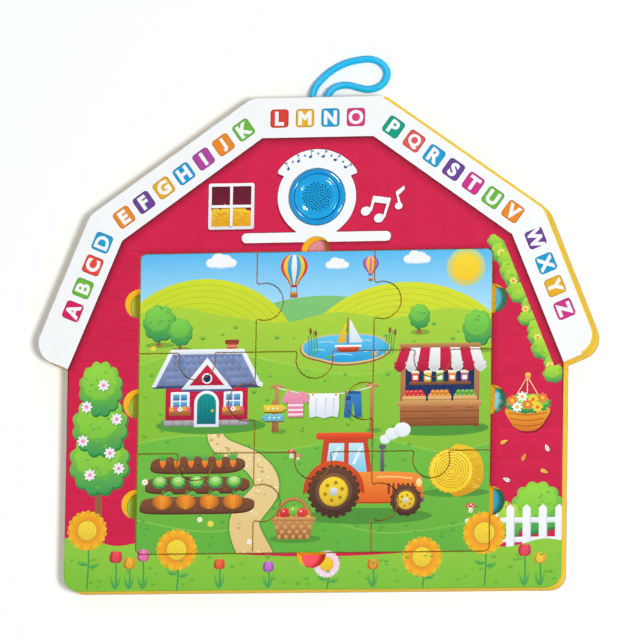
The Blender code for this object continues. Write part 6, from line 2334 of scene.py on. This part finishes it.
def make_floor():
    """A wide floor a hair under the object, so that the two never share a plane."""
    half, low = FLOOR_SIZE / 2, -FLOOR_SINK
    mesh = bpy.data.meshes.new("floor")
    mesh.from_pydata(
        [(-half, -half, low), (half, -half, low), (half, half, low), (-half, half, low)],
        [], [(0, 1, 2, 3)]
    )
    mesh.materials.append(floor_material())
    floor = bpy.data.objects.new("floor", mesh)
    bpy.context.scene.collection.objects.link(floor)


def make_lamp(name, size, power, direction, distance):
    """A round lamp that faces the middle of the view."""
    light = bpy.data.lights.new(name, "AREA")
    light.shape = "DISK"
    light.size = size
    light.energy = power
    lamp = bpy.data.objects.new(name, light)
    bpy.context.scene.collection.objects.link(lamp)
    away = Vector(direction).normalized()
    lamp.location = Vector(VIEW_AIM) + away * distance
    lamp.rotation_mode = "QUATERNION"
    lamp.rotation_quaternion = away.to_track_quat("Z", "Y")
    return lamp


def make_stage():
    """A pale floor, an even sky, a key lamp from the lower right and a lamp for gloss alone."""
    make_floor()
    world = bpy.data.worlds.new("studio")
    world.use_nodes = True
    bpy.context.scene.world = world
    background = world.node_tree.nodes["Background"]
    background.inputs["Color"].default_value = (*SKY_COLOUR, 1.0)
    background.inputs["Strength"].default_value = SKY_STRENGTH
    make_lamp("key", **KEY)
    make_lamp("glint", **GLINT).visible_diffuse = False
    bpy.context.scene.view_settings.view_transform = "Standard"


def dress(piece, body, node):
    """The piece rides on a body and stands for a CAD node, which it hides."""
    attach(piece, body)
    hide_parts(node)


make_stage()

cord, cord_path, cord_length = make_cord()
dress(cord, "tray", "cord_loop")
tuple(cord_path[0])

dress(make_frame(), "tray", "front_frame")
dress(make_board(), "tray", "back_board")

floor_low, floor_high = z_range("floor_picture")
print_sheet = printed_plate(
    "window_floor", [np.array(window_outline(0.3))], floor_low, floor_high, floor_sheet, [FILM, FOAM]
)
dress(print_sheet, "tray", "floor_picture")

for row, row_name in enumerate(ROW_NAMES):
    for column, column_name in enumerate(COLUMN_NAMES):
        node = f"piece_{row_name}_{column_name}"
        low, high = z_range(node)
        outline = np.array(piece_outline(row, column))
        piece = printed_plate(
            f"picture_{row_name}_{column_name}", [outline], low, high, picture, [FILM, FOAM]
        )
        dress(piece, node, node)

ring, lid = make_bezel()
for piece in (ring, lid):
    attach(piece, "tray")
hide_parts("sound_bezel")

spring, spring_foot, spring_head = make_spring()
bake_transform(spring)
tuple(spring_foot)
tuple(spring_head)
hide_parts("cap_return_spring")

dress(make_cap(), "button", "press_cap")

FINISHES = (
    (HOUSING, ("module_housing", "battery_door")),
    (METAL, ("speaker_basket", "contact_positive", "contact_negative")),
    (METAL, ("contact_bridge_inner", "contact_bridge_door", "door_screw")),
    (METAL, ("button_cell_left", "button_cell_middle", "button_cell_right")),
    (METAL, tuple(f"housing_screw_{number}" for number in range(1, 5))),
    (MAGNET, ("speaker_magnet",)),
    (PAPER, ("speaker_cone",)),
    (CIRCUIT, ("circuit_board",)),
    (CHIP, ("sound_chip", "tact_switch")),
    (WIRE_RED, ("battery_wire_red", "speaker_wire_red")),
    (WIRE_BLACK, ("battery_wire_black", "speaker_wire_black")),
    (CORD, ("cord_end_left", "cord_end_right")),
)
for material, names in FINISHES:
    for name in names:
        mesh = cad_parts[name].data
        mesh.materials.clear()
        mesh.materials.append(material)
